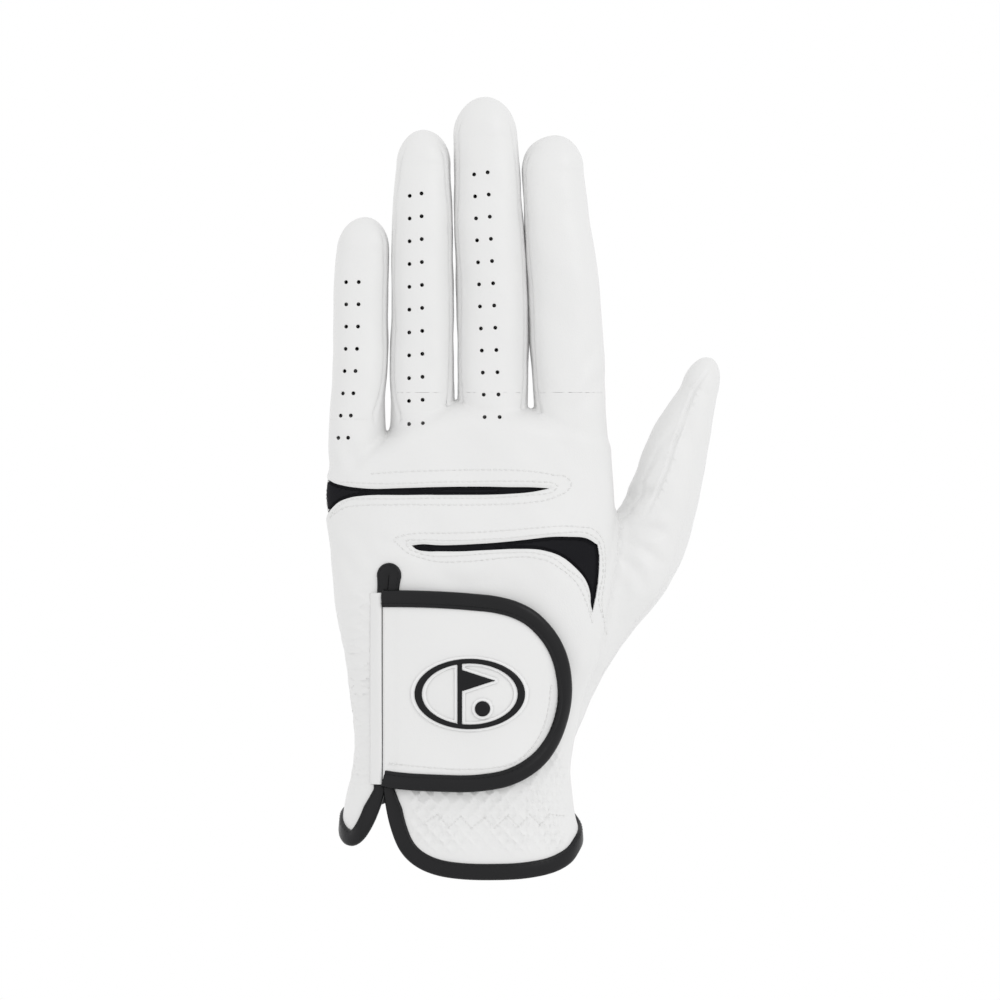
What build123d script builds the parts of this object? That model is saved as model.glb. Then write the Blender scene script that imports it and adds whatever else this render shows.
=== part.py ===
"""Left-hand golf glove, shaped as it is worn: thin leather panels round an empty hand.

Millimetres. +Z runs from the wrist to the fingertips, the back of the hand faces -Y and the palm
faces +Y, and the thumb is on the +X side. The origin is the middle of the wrist opening, level with
the lowest point of the hem.
"""

import os
from math import copysign, cos, hypot, pi, radians, sin

from build123d import *

os.makedirs("parts", exist_ok=True)

# ---- Driving sizes ----------------------------------------------------------------------------
palm_width = 87.0  # across the knuckles, outside
hand_length = 139.5  # hem to the roots of the ring, middle and index fingers
hand_depth = 34.0  # back to palm through the middle of the hand
little_root_drop = 6.5  # how far the little finger's root lies below the others

leather = 0.8
stretch_cloth = 0.6
elastic = 0.8
layer_gap = 0.05  # between sheets that are sewn together
running_gap = 0.3  # between pieces that move past each other

insert_overlap = 3.5  # stretch cloth hidden under the leather round a window
hem_binding_width = 4.6
slit_binding_width = 3.4
binding_rise = 0.7  # binding tape proud of the leather, inside and out
slit_width = 0.6
side_seam = 2.0  # how far the back leather wraps towards the palm
fourchette_width = 7.0  # the finger side strip, back seam to palm seam

tab_rim = 5.0
loop_thickness = 0.9
hook_thickness = 0.8
lining_thickness = 0.5
badge_thickness = 0.8
loop_start, hook_start = -14.0, 3.0  # how far left the two patches reach
badge_middle = (3.0, 55.0)
badge_size, badge_line = (33.0, 21.0), 1.7
anchor_width = 3.6
label_size = (16.0, 11.0)

# Fingers: distance across the palm, from the middle, as a share of its width; sizes in millimetres.
FINGERS = {
    "little": dict(length=64.7, root_drop=little_root_drop, depth=(8.6, 8.4, 7.9, 7.2)),
    "ring": dict(length=84.4, root_drop=0.0, depth=(9.7, 9.4, 8.8, 7.9)),
    "middle": dict(length=94.0, root_drop=0.0, depth=(10.3, 10.0, 9.4, 8.5)),
    "index": dict(length=83.0, root_drop=0.0, depth=(10.4, 10.1, 9.3, 8.4)),
}
FINGER_CENTRES = {
    "little": (-30.9, -30.3, -28.9, -28.4),
    "ring": (-11.0, -11.4, -11.3, -11.0),
    "middle": (10.0, 9.1, 8.1, 7.3),
    "index": (32.7, 31.4, 28.7, 27.8),
}
FINGER_HALF_WIDTHS = {
    "little": (8.5, 8.3, 7.8, 7.3),
    "ring": (9.1, 9.1, 8.6, 7.9),
    "middle": (10.1, 10.2, 9.9, 9.1),
    "index": (11.0, 10.8, 9.7, 8.9),
}
# Which sides have a strip of their own, and the neighbour that each faces.
FOURCHETTES = {
    "little": {1: "ring"},
    "ring": {-1: "little", 1: "middle"},
    "middle": {-1: "ring", 1: "index"},
    "index": {-1: "middle"},
}
STATION_SHARES = (0.0, 0.35, 0.75)  # of the finger's length; the fourth is at the shoulder
CURL = (0.0, 0.3, 1.4, 2.6)  # how far the finger's middle leans to the palm at each station
middle_joint_share = 0.40  # of the finger's length, from the root
dome_height = 10.0
DOME_ANGLES = (25, 50, 70, 84)

# ---- Shape of the hand ------------------------------------------------------------------------
PALM_WIDTH_DRAWN, HAND_LENGTH_DRAWN, HAND_DEPTH_DRAWN = 87.0, 139.5, 34.0  # what the tables show
across = palm_width / PALM_WIDTH_DRAWN
along = hand_length / HAND_LENGTH_DRAWN
deep = hand_depth / HAND_DEPTH_DRAWN

# height, little-finger side, thumb side, depth to the back, depth to the palm
HAND_STATIONS = [
    (0, -36.5, 36.6, 18.5, 17.8),
    (12, -36.3, 36.5, 18.2, 17.4),
    (22, -34.4, 34.3, 17.6, 16.9),
    (34, -32.0, 33.4, 17.0, 16.5),
    (46, -31.5, 34.4, 16.8, 16.8),
    (58, -33.1, 37.8, 16.8, 17.5),
    (70, -35.1, 41.6, 16.8, 17.9),
    (82, -37.1, 44.6, 16.5, 17.9),
    (94, -38.4, 46.2, 16.0, 17.1),
    (106, -39.7, 46.5, 15.3, 15.8),
    (118, -40.6, 45.7, 14.4, 14.2),
    (130, -40.0, 44.9, 13.2, 12.7),
    (143, -39.5, 44.2, 11.8, 11.3),
]
hand_corner = 2.5  # superellipse exponent: 2 is an ellipse, more is squarer
finger_corner = 2.2
OVAL_POINTS = 16

# x, y, z of the thumb's middle line, lean from upright in degrees, half width, half depth
THUMB_STATIONS = [
    (24.0, 5.0, 36.0, 25, 8.5, 11.0),
    (30.0, 6.5, 56.0, 32, 9.8, 12.5),
    (41.0, 8.5, 76.0, 33, 10.2, 13.5),
    (52.0, 10.0, 92.0, 26, 12.6, 13.2),
    (59.5, 10.5, 107.0, 16, 10.9, 11.6),
    (63.5, 10.5, 119.5, 16, 10.0, 10.4),
    (66.8, 10.7, 131.5, 17, 9.2, 9.6),
    (70.0, 11.0, 142.0, 18, 7.8, 8.3),
    (72.9, 11.3, 149.3, 20, 5.4, 6.2),
    (74.6, 11.6, 153.8, 21, 2.7, 3.4),
    (75.2, 11.8, 155.4, 21, 1.0, 1.4),
]
THUMB_ROOT, THUMB_JOINT = 4, 6  # the stations that the thumb's two hinges lie at

# ---- Outlines seen from the back (x, z) --------------------------------------------------------
HEM_FLAP = [(-46, 19), (-36.6, 14), (-35.0, 10.4), (-32.8, 9.5), (-30.6, 10.2), (-27.6, 14.0)]
HEM_FLAP += [(-24.9, 19.0), (-22.9, 26)]
HEM_CUFF = [(-22.0, 26), (-21.3, 19.5), (-19.6, 13.2), (-17.4, 8.1), (-13.3, 4.1), (-7.5, 1.5), (1.0, 0.2)]
HEM_CUFF += [(9.6, 0.0), (21.0, 0.6), (29.7, 2.7), (34.2, 5.8), (36.4, 9.5), (37.6, 14), (46, 21)]
HEM_PALM = [(-46, 15.5), (-36.6, 13.5), (-30, 19.5), (-18, 26), (0, 29), (18, 26), (30, 19.5)]
HEM_PALM += [(37.6, 14), (46, 15.5)]
SLIT_FOOT, SLIT_HEAD = (-22.4, 26.0), (-21.0, 90.4)
UPPER_WINDOW_TOP = [(-46, 124), (-39.0, 118.6), (-31.3, 116.8), (-9.9, 117.0), (16.9, 117.3), (27.1, 116.6)]
UPPER_WINDOW_FOOT = [(27.1, 116.6), (16.9, 115.2), (-17.9, 114.8), (-32.9, 113.5), (-39.0, 109.8), (-46, 103)]
LOWER_WINDOW_TOP = [(-14.6, 99.5), (6.2, 100.4), (30.3, 102.5), (38.6, 101.9), (42.0, 98.5)]
LOWER_WINDOW_SIDE = [(42.0, 98.5), (41.9, 91.0), (40.3, 79.3)]
LOWER_WINDOW_FOOT = [(40.3, 79.3), (37.4, 89.6), (27.6, 97.4), (10.0, 98.7), (-7.7, 97.5), (-14.6, 99.5)]
TAB_RIM = [(-23.2, 85.6), (0, 84.9), (21.1, 79.9), (31.8, 65.0), (32.4, 49.3), (24.1, 31.6)]
TAB_RIM += [(5.8, 24.6), (-23.2, 27.3)]

far = 60.0  # a reach past every surface of the glove
top = 160.0


def drawn(points):
    """The outline's points at the glove's own width and length."""
    return [(x * across, z * along) for x, z in points]


def moved_in(points, distance):
    """The points moved by the distance to the right of the way they run."""
    made = []
    for k, (x, z) in enumerate(points):
        (ax, az), (bx, bz) = points[max(k - 1, 0)], points[min(k + 1, len(points) - 1)]
        run = hypot(bx - ax, bz - az)
        made.append((x + distance * (bz - az) / run, z - distance * (bx - ax) / run))
    return made


def oval_points(left, right, back, palm, corner):
    """Points of a superellipse whose two halves have their own depth."""
    middle, half = (left + right) / 2, (right - left) / 2
    made = []
    for k in range(OVAL_POINTS):
        c, s = cos(2 * pi * k / OVAL_POINTS), sin(2 * pi * k / OVAL_POINTS)
        reach = palm if s > 0 else back
        x = middle + half * copysign(abs(c) ** (2 / corner), c)
        made.append((x, reach * copysign(abs(s) ** (2 / corner), s)))
    return made


# ---- Forms: the closed shape of the hand, a finger or the thumb, inset by a distance -------------
def hand_form(inset, over=0.0):
    """The hand from hem to finger roots, taken in by inset and run past both ends by over."""
    last = len(HAND_STATIONS) - 1
    with BuildPart() as form:
        for k, (z, left, right, back, palm) in enumerate(HAND_STATIONS):
            height = z * along - (over if k == 0 else 0) + (over if k == last else 0)
            with BuildSketch(Plane.XY.offset(height)):
                with BuildLine():
                    sides = left * across + inset, right * across - inset
                    depths = back * deep - inset, palm * deep - inset
                    Spline(*oval_points(*sides, *depths, hand_corner), periodic=True)
                make_face()
        loft(ruled=True)
    return form.part


def hand_wall(outer, inner):
    """The layer between two insets of the hand's form."""
    with BuildPart() as wall:
        add(hand_form(outer))
        add(hand_form(inner, over=1.0), mode=Mode.SUBTRACT)
    return wall.part


def finger_root(name):
    return hand_length - FINGERS[name]["root_drop"] * along


def finger_stations(name):
    """Height, middle x, middle y, half width and half depth up one finger, tip dome included."""
    spec = FINGERS[name]
    root, length = finger_root(name), spec["length"]
    heights = [root + share * length for share in STATION_SHARES] + [root + length - dome_height]
    rows = []
    for k, z in enumerate(heights):
        width = FINGER_HALF_WIDTHS[name][k] * across
        rows.append((z, FINGER_CENTRES[name][k] * across, CURL[k], width, spec["depth"][k] * deep))
    z, x, y, width, depth = rows[-1]
    for angle in DOME_ANGLES:
        share = cos(radians(angle))
        rise = sin(radians(angle))
        rows.append((z + dome_height * rise, x, y + rise, width * share, depth * share))
    return rows


def finger_form(name, inset, under=0.0):
    """A finger's closed form, taken in by inset and run below its root by under."""
    rows = finger_stations(name)
    with BuildPart() as form:
        for k, (z, x, y, width, depth) in enumerate(rows):
            height = z - under if k == 0 else z - inset * (k / (len(rows) - 1)) ** 2
            taken = min(inset, 0.6 * width)
            with BuildSketch(Plane.XY.offset(height)):
                with BuildLine(Location((x, y))):
                    sides = taken - width, width - taken
                    Spline(*oval_points(*sides, depth - taken, depth - taken, finger_corner), periodic=True)
                make_face()
        loft(ruled=True)
    return form.part


def thumb_plane(k):
    """The plane across the thumb at station k, with X across the thumb and Z along it."""
    x, y, z, lean, _, _ = THUMB_STATIONS[k]
    way = Vector(sin(radians(lean)), 0, cos(radians(lean)))
    side = Vector(cos(radians(lean)), 0, -sin(radians(lean)))
    return Plane(origin=(x * across, y * deep, z * along), x_dir=side, z_dir=way)


def thumb_form(inset):
    """The thumb's closed form from the heel of the hand to its tip, taken in by inset."""
    last = len(THUMB_STATIONS) - 1
    with BuildPart() as form:
        for k, (_, _, _, _, width, depth) in enumerate(THUMB_STATIONS):
            taken = min(inset, 0.6 * width)
            with BuildSketch(thumb_plane(k).offset(-inset * (k / last) ** 4)):
                with BuildLine():
                    sides = taken - width * across, width * across - taken
                    depths = depth * deep - taken, depth * deep - taken
                    Spline(*oval_points(*sides, *depths, finger_corner), periodic=True)
                make_face()
        loft(ruled=True)
    return form.part


seam_plane = Plane.XZ.offset(-side_seam)
TO_BACK, TO_PALM = (0, -1, 0), (0, 1, 0)


def save(part, label):
    part.label = label
    export_step(part, f"parts/{label}.step")


# ---- Sheet outlines ---------------------------------------------------------------------------
def back_outline(inset):
    """The back of the glove above the hem, with the slit. Inset 0 is the binding's outer edge."""
    flap, cuff = drawn(HEM_FLAP), drawn(HEM_CUFF)
    (foot_x, foot_z), (head_x, head_z) = drawn([SLIT_FOOT, SLIT_HEAD])
    half = slit_width / 2 + (slit_binding_width if inset else 0)
    with BuildSketch(seam_plane) as outline:
        with BuildLine():
            corners = ((far, cuff[-1][1]), (far, top), (-far, top), (-far, flap[0][1]))
            Polyline(*flap, *cuff, *corners, close=True)
        make_face()
        if inset:
            offset(amount=-inset, kind=Kind.INTERSECTION, mode=Mode.REPLACE)
        with BuildLine():
            Polyline(
                (foot_x - half, foot_z - 1),
                (head_x - half, head_z),
                (head_x + half, head_z),
                (foot_x + half, foot_z - 1),
                close=True,
            )
        make_face(mode=Mode.SUBTRACT)
        with Locations((head_x, head_z)):
            Circle(half, mode=Mode.SUBTRACT)
    return outline.sketch


def palm_outline(inset):
    """The palm above the hem. Inset 0 is the binding's outer edge."""
    hem = drawn(HEM_PALM)
    with BuildSketch(seam_plane) as outline:
        with BuildLine():
            Polyline(*hem, (far, hem[-1][1]), (far, top), (-far, top), (-far, hem[0][1]), close=True)
        make_face()
        if inset:
            offset(amount=-inset, kind=Kind.INTERSECTION, mode=Mode.REPLACE)
    return outline.sketch


def window(*edges):
    """A closed window in the back leather from its drawn edges."""
    points = []
    for edge in edges:
        points += [point for point in drawn(edge) if point not in points]
    with BuildSketch(seam_plane) as outline:
        with BuildLine():
            Polyline(*points, close=True)
        make_face()
    return outline.sketch


def tab_outline(inset, start=None):
    """The tab's D shape, taken in by inset from its rim and cut off at x = start."""
    rim = moved_in(drawn(TAB_RIM), inset)
    hinge_x = drawn(TAB_RIM)[0][0]
    rim = [(hinge_x, rim[0][1]), *rim[1:-1], (hinge_x, rim[-1][1])]
    with BuildSketch(Plane.XZ) as outline:
        with BuildLine():
            Spline(*rim)
            Line(rim[-1], rim[0])
        make_face()
        if start is not None:
            with Locations((start - far, top / 2)):
                Rectangle(2 * far, 2 * top, mode=Mode.SUBTRACT)
    return outline.sketch


upper_window = window(UPPER_WINDOW_TOP, UPPER_WINDOW_FOOT)
lower_window = window(LOWER_WINDOW_TOP, LOWER_WINDOW_SIDE, LOWER_WINDOW_FOOT)

# ---- The hand: leather ------------------------------------------------------------------------
hand_outside = hand_form(0)
leather_wall = hand_wall(0, leather)
thumb_outside = thumb_form(0)
thumb_inside = thumb_form(leather)
ring_root = finger_root("ring") - running_gap
little_root = finger_root("little") - running_gap
little_edge = (FINGER_CENTRES["little"][0] + FINGER_HALF_WIDTHS["little"][0]) * across
ring_edge = (FINGER_CENTRES["ring"][0] - FINGER_HALF_WIDTHS["ring"][0]) * across
step_x = (little_edge + ring_edge) / 2


def cut_finger_roots():
    """Takes off what lies above the finger roots, with the step down at the little finger."""
    with Locations((0, 0, ring_root)):
        Box(4 * far, 4 * far, far, align=(Align.CENTER, Align.CENTER, Align.MIN), mode=Mode.SUBTRACT)
    with Locations((step_x, 0, little_root)):
        Box(2 * far, 4 * far, far, align=(Align.MAX, Align.CENTER, Align.MIN), mode=Mode.SUBTRACT)


with BuildPart() as back_leather:
    add(leather_wall)
    extrude(back_outline(hem_binding_width), amount=far, dir=TO_BACK, mode=Mode.INTERSECT)
    extrude(upper_window, amount=far, dir=TO_BACK, mode=Mode.SUBTRACT)
    extrude(lower_window, amount=far, dir=TO_BACK, mode=Mode.SUBTRACT)
    add(thumb_inside, mode=Mode.SUBTRACT)
    cut_finger_roots()
save(back_leather.part, "back_leather")

with BuildPart() as palm_leather:
    add(leather_wall)
    extrude(palm_outline(hem_binding_width), amount=far, dir=TO_PALM, mode=Mode.INTERSECT)
    add(thumb_inside, mode=Mode.SUBTRACT)
    cut_finger_roots()
save(palm_leather.part, "palm_leather")

# ---- The hand: stretch inserts, sewn under the two windows ------------------------------------
insert_wall = hand_wall(leather + layer_gap, leather + layer_gap + stretch_cloth)
for label, opening in (("upper_stretch_insert", upper_window), ("lower_stretch_insert", lower_window)):
    with BuildPart() as insert:
        add(insert_wall)
        extrude(offset(opening, amount=insert_overlap), amount=far, dir=TO_BACK, mode=Mode.INTERSECT)
        add(thumb_inside, mode=Mode.SUBTRACT)
    save(insert.part, label)

# ---- The hand: bindings, wrist elastic, loop patch and size label -----------------------------
binding_wall = hand_wall(-binding_rise, leather + binding_rise)
with BuildPart() as hem_binding:
    add(binding_wall)
    extrude(back_outline(0), amount=far, dir=TO_BACK, mode=Mode.INTERSECT)
    extrude(back_outline(hem_binding_width), amount=far, dir=TO_BACK, mode=Mode.SUBTRACT)
save(hem_binding.part, "back_hem_binding")

with BuildPart() as palm_hem_binding:
    add(binding_wall)
    extrude(palm_outline(0), amount=far, dir=TO_PALM, mode=Mode.INTERSECT)
    extrude(palm_outline(hem_binding_width), amount=far, dir=TO_PALM, mode=Mode.SUBTRACT)
save(palm_hem_binding.part, "palm_hem_binding")

elastic_wall = hand_wall(leather + layer_gap, leather + layer_gap + elastic)
under_hem = hem_binding_width + 1.2
with BuildPart() as cuff_elastic:
    add(elastic_wall)
    extrude(back_outline(under_hem), amount=far, dir=TO_BACK, mode=Mode.INTERSECT)
    with Locations((-9 * across, 0, 33 * along)):
        Box(2 * far, 4 * far, far, align=(Align.MIN, Align.CENTER, Align.MAX), mode=Mode.INTERSECT)
save(cuff_elastic.part, "cuff_elastic")

with BuildPart() as side_elastic:
    add(elastic_wall)
    with Locations((-28.5 * across, side_seam, 30 * along)):
        Box(far, far, 52 * along, align=(Align.MAX, Align.MAX, Align.MIN), mode=Mode.INTERSECT)
save(side_elastic.part, "side_elastic")

with BuildPart() as palm_elastic:
    add(elastic_wall)
    with Locations((2 * across, side_seam, 38 * along)):
        Box(44 * across, far, 9, align=(Align.CENTER, Align.MIN, Align.MIN), mode=Mode.INTERSECT)
save(palm_elastic.part, "palm_elastic")

with BuildPart() as size_label:
    add(elastic_wall)
    with Locations((2 * across, side_seam, 51 * along)):
        label_align = (Align.CENTER, Align.MIN, Align.MIN)
        Box(label_size[0], far, label_size[1], align=label_align, mode=Mode.INTERSECT)
save(size_label.part, "size_label")

loop_face = layer_gap + loop_thickness
with BuildPart() as loop_patch:
    add(hand_wall(-loop_face, -layer_gap))
    extrude(tab_outline(tab_rim + 2, start=loop_start), amount=far, dir=TO_BACK, mode=Mode.INTERSECT)
save(loop_patch.part, "loop_patch")

# ---- The hand: webs between the finger roots --------------------------------------------------
hand_inside = hand_form(leather)
roots = {name: finger_form(name, leather, under=leather + 4) for name in FINGERS}


def web(label, left, right, low):
    """The strips between two fingers' openings, across the top of the hand."""
    left_x = FINGER_CENTRES[left][0] * across
    right_x = FINGER_CENTRES[right][0] * across
    with BuildPart() as made:
        with Locations(((left_x + right_x) / 2, 0, finger_root(right) - running_gap)):
            up = Align.CENTER, Align.CENTER, Align.MAX
            Box(right_x - left_x, 2 * far, leather, align=up)
        if low:
            with Locations((step_x, 0, finger_root(right) - running_gap)):
                drop = (low + 1) * along
                Box(leather, 2 * far, drop, align=(Align.MIN, Align.CENTER, Align.MAX))
            with Locations((left_x, 0, finger_root(left) - running_gap)):
                reach = step_x - left_x + leather
                Box(reach, 2 * far, leather, align=(Align.MIN, Align.CENTER, Align.MAX))
            with Locations((step_x, 0, finger_root(left))):
                Box(far, 4 * far, far, align=(Align.MAX, Align.CENTER, Align.MIN), mode=Mode.SUBTRACT)
        add(hand_inside, mode=Mode.INTERSECT)
        add(roots[left], mode=Mode.SUBTRACT)
        add(roots[right], mode=Mode.SUBTRACT)
    save(made.part, label)


web("little_ring_web", "little", "ring", little_root_drop)
web("ring_middle_web", "ring", "middle", 0)
web("middle_index_web", "middle", "index", 0)

# ---- The tab ----------------------------------------------------------------------------------
hook_face = loop_face + running_gap
lining_face = hook_face + hook_thickness + layer_gap
tab_face = lining_face + lining_thickness + layer_gap
tab_top = tab_face + leather
hinge_x = drawn(TAB_RIM)[0][0]
tab_start = hinge_x + running_gap / 2


def tab_sheet(label, low, high, inset, start):
    with BuildPart() as sheet:
        add(hand_wall(-high, -low))
        extrude(tab_outline(inset, start=start), amount=far, dir=TO_BACK, mode=Mode.INTERSECT)
    save(sheet.part, label)


tab_sheet("tab_leather", tab_face, tab_top, tab_rim, tab_start)
tab_sheet("tab_lining", lining_face, lining_face + lining_thickness, tab_rim, tab_start)
tab_sheet("hook_patch", hook_face, hook_face + hook_thickness, tab_rim + 3, hook_start)

with BuildPart() as tab_binding:
    add(hand_wall(-tab_top - 0.4, -lining_face + 0.4))
    extrude(tab_outline(0, start=tab_start), amount=far, dir=TO_BACK, mode=Mode.INTERSECT)
    extrude(tab_outline(tab_rim, start=tab_start - 2), amount=far, dir=TO_BACK, mode=Mode.SUBTRACT)
save(tab_binding.part, "tab_binding")

badge_base = tab_top + layer_gap
emblem_x, emblem_z = drawn([badge_middle])[0]
staff_x = emblem_x - 3.0
with BuildSketch(Plane.XZ) as emblem:
    with Locations((emblem_x, emblem_z)):
        Ellipse(badge_size[0] / 2, badge_size[1] / 2)
        Ellipse(badge_size[0] / 2 - badge_line, badge_size[1] / 2 - badge_line, mode=Mode.SUBTRACT)
    with Locations((staff_x, emblem_z)):
        Rectangle(badge_line * 0.8, badge_size[1] - badge_line)
    with BuildLine():
        flag_top, flag_foot = (staff_x, emblem_z + 7.4), (staff_x, emblem_z + 0.6)
        Polyline(flag_top, (staff_x + 10.5, emblem_z + 4.0), flag_foot, close=True)
    make_face()
    with Locations((emblem_x + 3.8, emblem_z - 4.4)):
        Circle(2.3)
with BuildPart() as tab_badge:
    add(hand_wall(-badge_base - badge_thickness, -badge_base))
    extrude(emblem.sketch, amount=far, dir=TO_BACK, mode=Mode.INTERSECT)
save(tab_badge.part, "tab_badge")

with BuildPart() as tab_anchor:
    add(hand_wall(-tab_top, -binding_rise - layer_gap))
    with Locations((hinge_x - running_gap / 2, 0, 0)):
        Box(anchor_width, far, 2 * top, align=(Align.MAX, Align.MAX, Align.CENTER), mode=Mode.INTERSECT)
    (_, tab_high), (_, tab_low) = drawn([TAB_RIM[0], TAB_RIM[-1]])
    with Locations((0, 0, tab_low)):
        anchor_align = (Align.CENTER, Align.CENTER, Align.MIN)
        Box(2 * far, 4 * far, tab_high - tab_low, align=anchor_align, mode=Mode.INTERSECT)
save(tab_anchor.part, "tab_anchor")

# ---- The fingers ------------------------------------------------------------------------------
half_strip = fourchette_width / 2
for name, sides in FOURCHETTES.items():
    root = finger_root(name)
    joint = root + middle_joint_share * FINGERS[name]["length"]
    with BuildPart() as wall:
        add(finger_form(name, 0))
        add(finger_form(name, leather, under=1.0), mode=Mode.SUBTRACT)
    middle_x = FINGER_CENTRES[name][1] * across
    lower, upper = joint - running_gap / 2, joint + running_gap / 2
    segments = (("proximal", root, lower), ("distal", upper, root + far * 2))
    for segment, low, high in segments:
        with BuildPart() as tube:
            add(wall.part)
            with Locations((0, 0, low)):
                span_align = (Align.CENTER, Align.CENTER, Align.MIN)
                Box(4 * far, 4 * far, high - low, align=span_align, mode=Mode.INTERSECT)
        for side, toward in sides.items():
            with BuildPart() as strip:
                add(tube.part)
                with Locations((middle_x, 0, 0)):
                    strip_align = (Align.MAX if side < 0 else Align.MIN, Align.CENTER, Align.CENTER)
                    Box(far, 2 * half_strip, 8 * far, align=strip_align, mode=Mode.INTERSECT)
            save(strip.part, f"{name}_{segment}_{toward}_fourchette")
        if len(sides) == 1:
            with BuildPart() as wrap:
                add(tube.part)
                with Locations((middle_x, 0, 0)):
                    cut_align = (Align.MAX if -1 in sides else Align.MIN, Align.CENTER, Align.CENTER)
                    Box(far, 2 * half_strip, 8 * far, align=cut_align, mode=Mode.SUBTRACT)
            save(wrap.part, f"{name}_{segment}_wrap")
        else:
            for face, edge in (("back", Align.MAX), ("palm", Align.MIN)):
                with BuildPart() as cover:
                    add(tube.part)
                    with Locations((0, half_strip * (-1 if face == "back" else 1), 0)):
                        cover_align = (Align.CENTER, edge, Align.CENTER)
                        Box(4 * far, far, 8 * far, align=cover_align, mode=Mode.INTERSECT)
                save(cover.part, f"{name}_{segment}_{face}")

# ---- The thumb --------------------------------------------------------------------------------
with BuildPart() as thumb_wall:
    add(thumb_outside)
    add(thumb_inside, mode=Mode.SUBTRACT)

root_plane, joint_plane = thumb_plane(THUMB_ROOT), thumb_plane(THUMB_JOINT)
with BuildPart() as thumb_base:
    add(thumb_wall.part)
    split(bisect_by=root_plane.offset(-running_gap), keep=Keep.BOTTOM)
    add(hand_outside, mode=Mode.SUBTRACT)
save(thumb_base.part, "thumb_base")

seam_y = THUMB_STATIONS[THUMB_ROOT][1] * deep
for segment, low, high in (
    ("proximal", root_plane, joint_plane.offset(-running_gap / 2)),
    ("distal", joint_plane.offset(running_gap / 2), None),
):
    with BuildPart() as thumb_tube:
        add(thumb_wall.part)
        split(bisect_by=low, keep=Keep.TOP)
        if high:
            split(bisect_by=high, keep=Keep.BOTTOM)
    for face, edge in (("back", Align.MAX), ("palm", Align.MIN)):
        with BuildPart() as cover:
            add(thumb_tube.part)
            with Locations((0, seam_y, 0)):
                Box(4 * far, far, 8 * far, align=(Align.CENTER, edge, Align.CENTER), mode=Mode.INTERSECT)
        save(cover.part, f"thumb_{segment}_{face}")
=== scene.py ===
"""A left-hand golf glove standing as it is worn. Sizes in millimetres until a mesh is made."""

import math

import bmesh
import bpy
import mathutils
import numpy as np
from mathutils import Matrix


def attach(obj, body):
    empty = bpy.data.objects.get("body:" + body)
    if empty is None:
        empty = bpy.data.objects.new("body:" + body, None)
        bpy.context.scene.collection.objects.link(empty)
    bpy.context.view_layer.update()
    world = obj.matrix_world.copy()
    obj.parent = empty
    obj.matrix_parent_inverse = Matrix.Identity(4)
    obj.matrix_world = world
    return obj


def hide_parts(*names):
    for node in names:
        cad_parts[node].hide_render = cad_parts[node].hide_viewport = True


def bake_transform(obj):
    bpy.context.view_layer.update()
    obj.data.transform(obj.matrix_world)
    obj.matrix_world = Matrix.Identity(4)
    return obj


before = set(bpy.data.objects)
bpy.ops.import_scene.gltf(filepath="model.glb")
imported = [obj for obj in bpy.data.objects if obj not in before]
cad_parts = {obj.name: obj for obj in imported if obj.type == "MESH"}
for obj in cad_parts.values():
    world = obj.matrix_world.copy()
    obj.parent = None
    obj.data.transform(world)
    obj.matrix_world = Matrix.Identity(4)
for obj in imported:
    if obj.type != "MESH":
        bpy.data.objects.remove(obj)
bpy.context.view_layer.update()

MM = 0.001
LEATHER = 0.8
FINGERS = ("little", "ring", "middle", "index")

# ---- Numbers for the glove's form -------------------------------------------------------------
# height, little-finger side, thumb side, depth to the back, depth to the palm
HAND = [
    (-8, -36.9, 36.4, 18.6, 17.9),
    (4, -36.7, 36.4, 18.5, 17.8),
    (12, -36.3, 36.2, 18.2, 17.4),
    (18, -35.4, 34.6, 17.9, 17.1),
    (24, -34.0, 33.8, 17.5, 16.9),
    (30, -32.5, 33.4, 17.2, 16.6),
    (36, -31.8, 33.4, 17.0, 16.5),
    (42, -31.5, 34.0, 16.8, 16.6),
    (48, -31.8, 35.2, 16.8, 16.9),
    (54, -32.7, 37.0, 16.8, 17.2),
    (60, -33.6, 39.2, 16.8, 17.5),
    (66, -34.5, 41.2, 16.8, 17.8),
    (72, -35.7, 42.8, 16.7, 17.9),
    (84, -37.5, 45.0, 16.4, 17.7),
    (96, -38.7, 46.0, 15.9, 16.9),
    (108, -40.2, 46.2, 15.2, 15.6),
    (114, -41.0, 45.9, 14.7, 14.9),
    (120, -40.6, 45.4, 14.2, 14.1),
    (126, -40.4, 45.0, 13.6, 13.3),
    (132, -39.9, 44.7, 13.0, 12.5),
    (146, -38.6, 43.9, 11.6, 11.0),
]
HAND_CORNER, DIGIT_CORNER = 2.5, 2.2
# where the top of the palm lies between the fingers: x, height
HAND_TOP = [
    (-46, 126), (-30, 130), (-21.5, 134.2), (-14, 139), (-1.5, 142.4), (10, 142.0), (22, 141.2), (34, 139),
    (50, 136),
]
HAND_TOP_ROUND = 9.0

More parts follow.
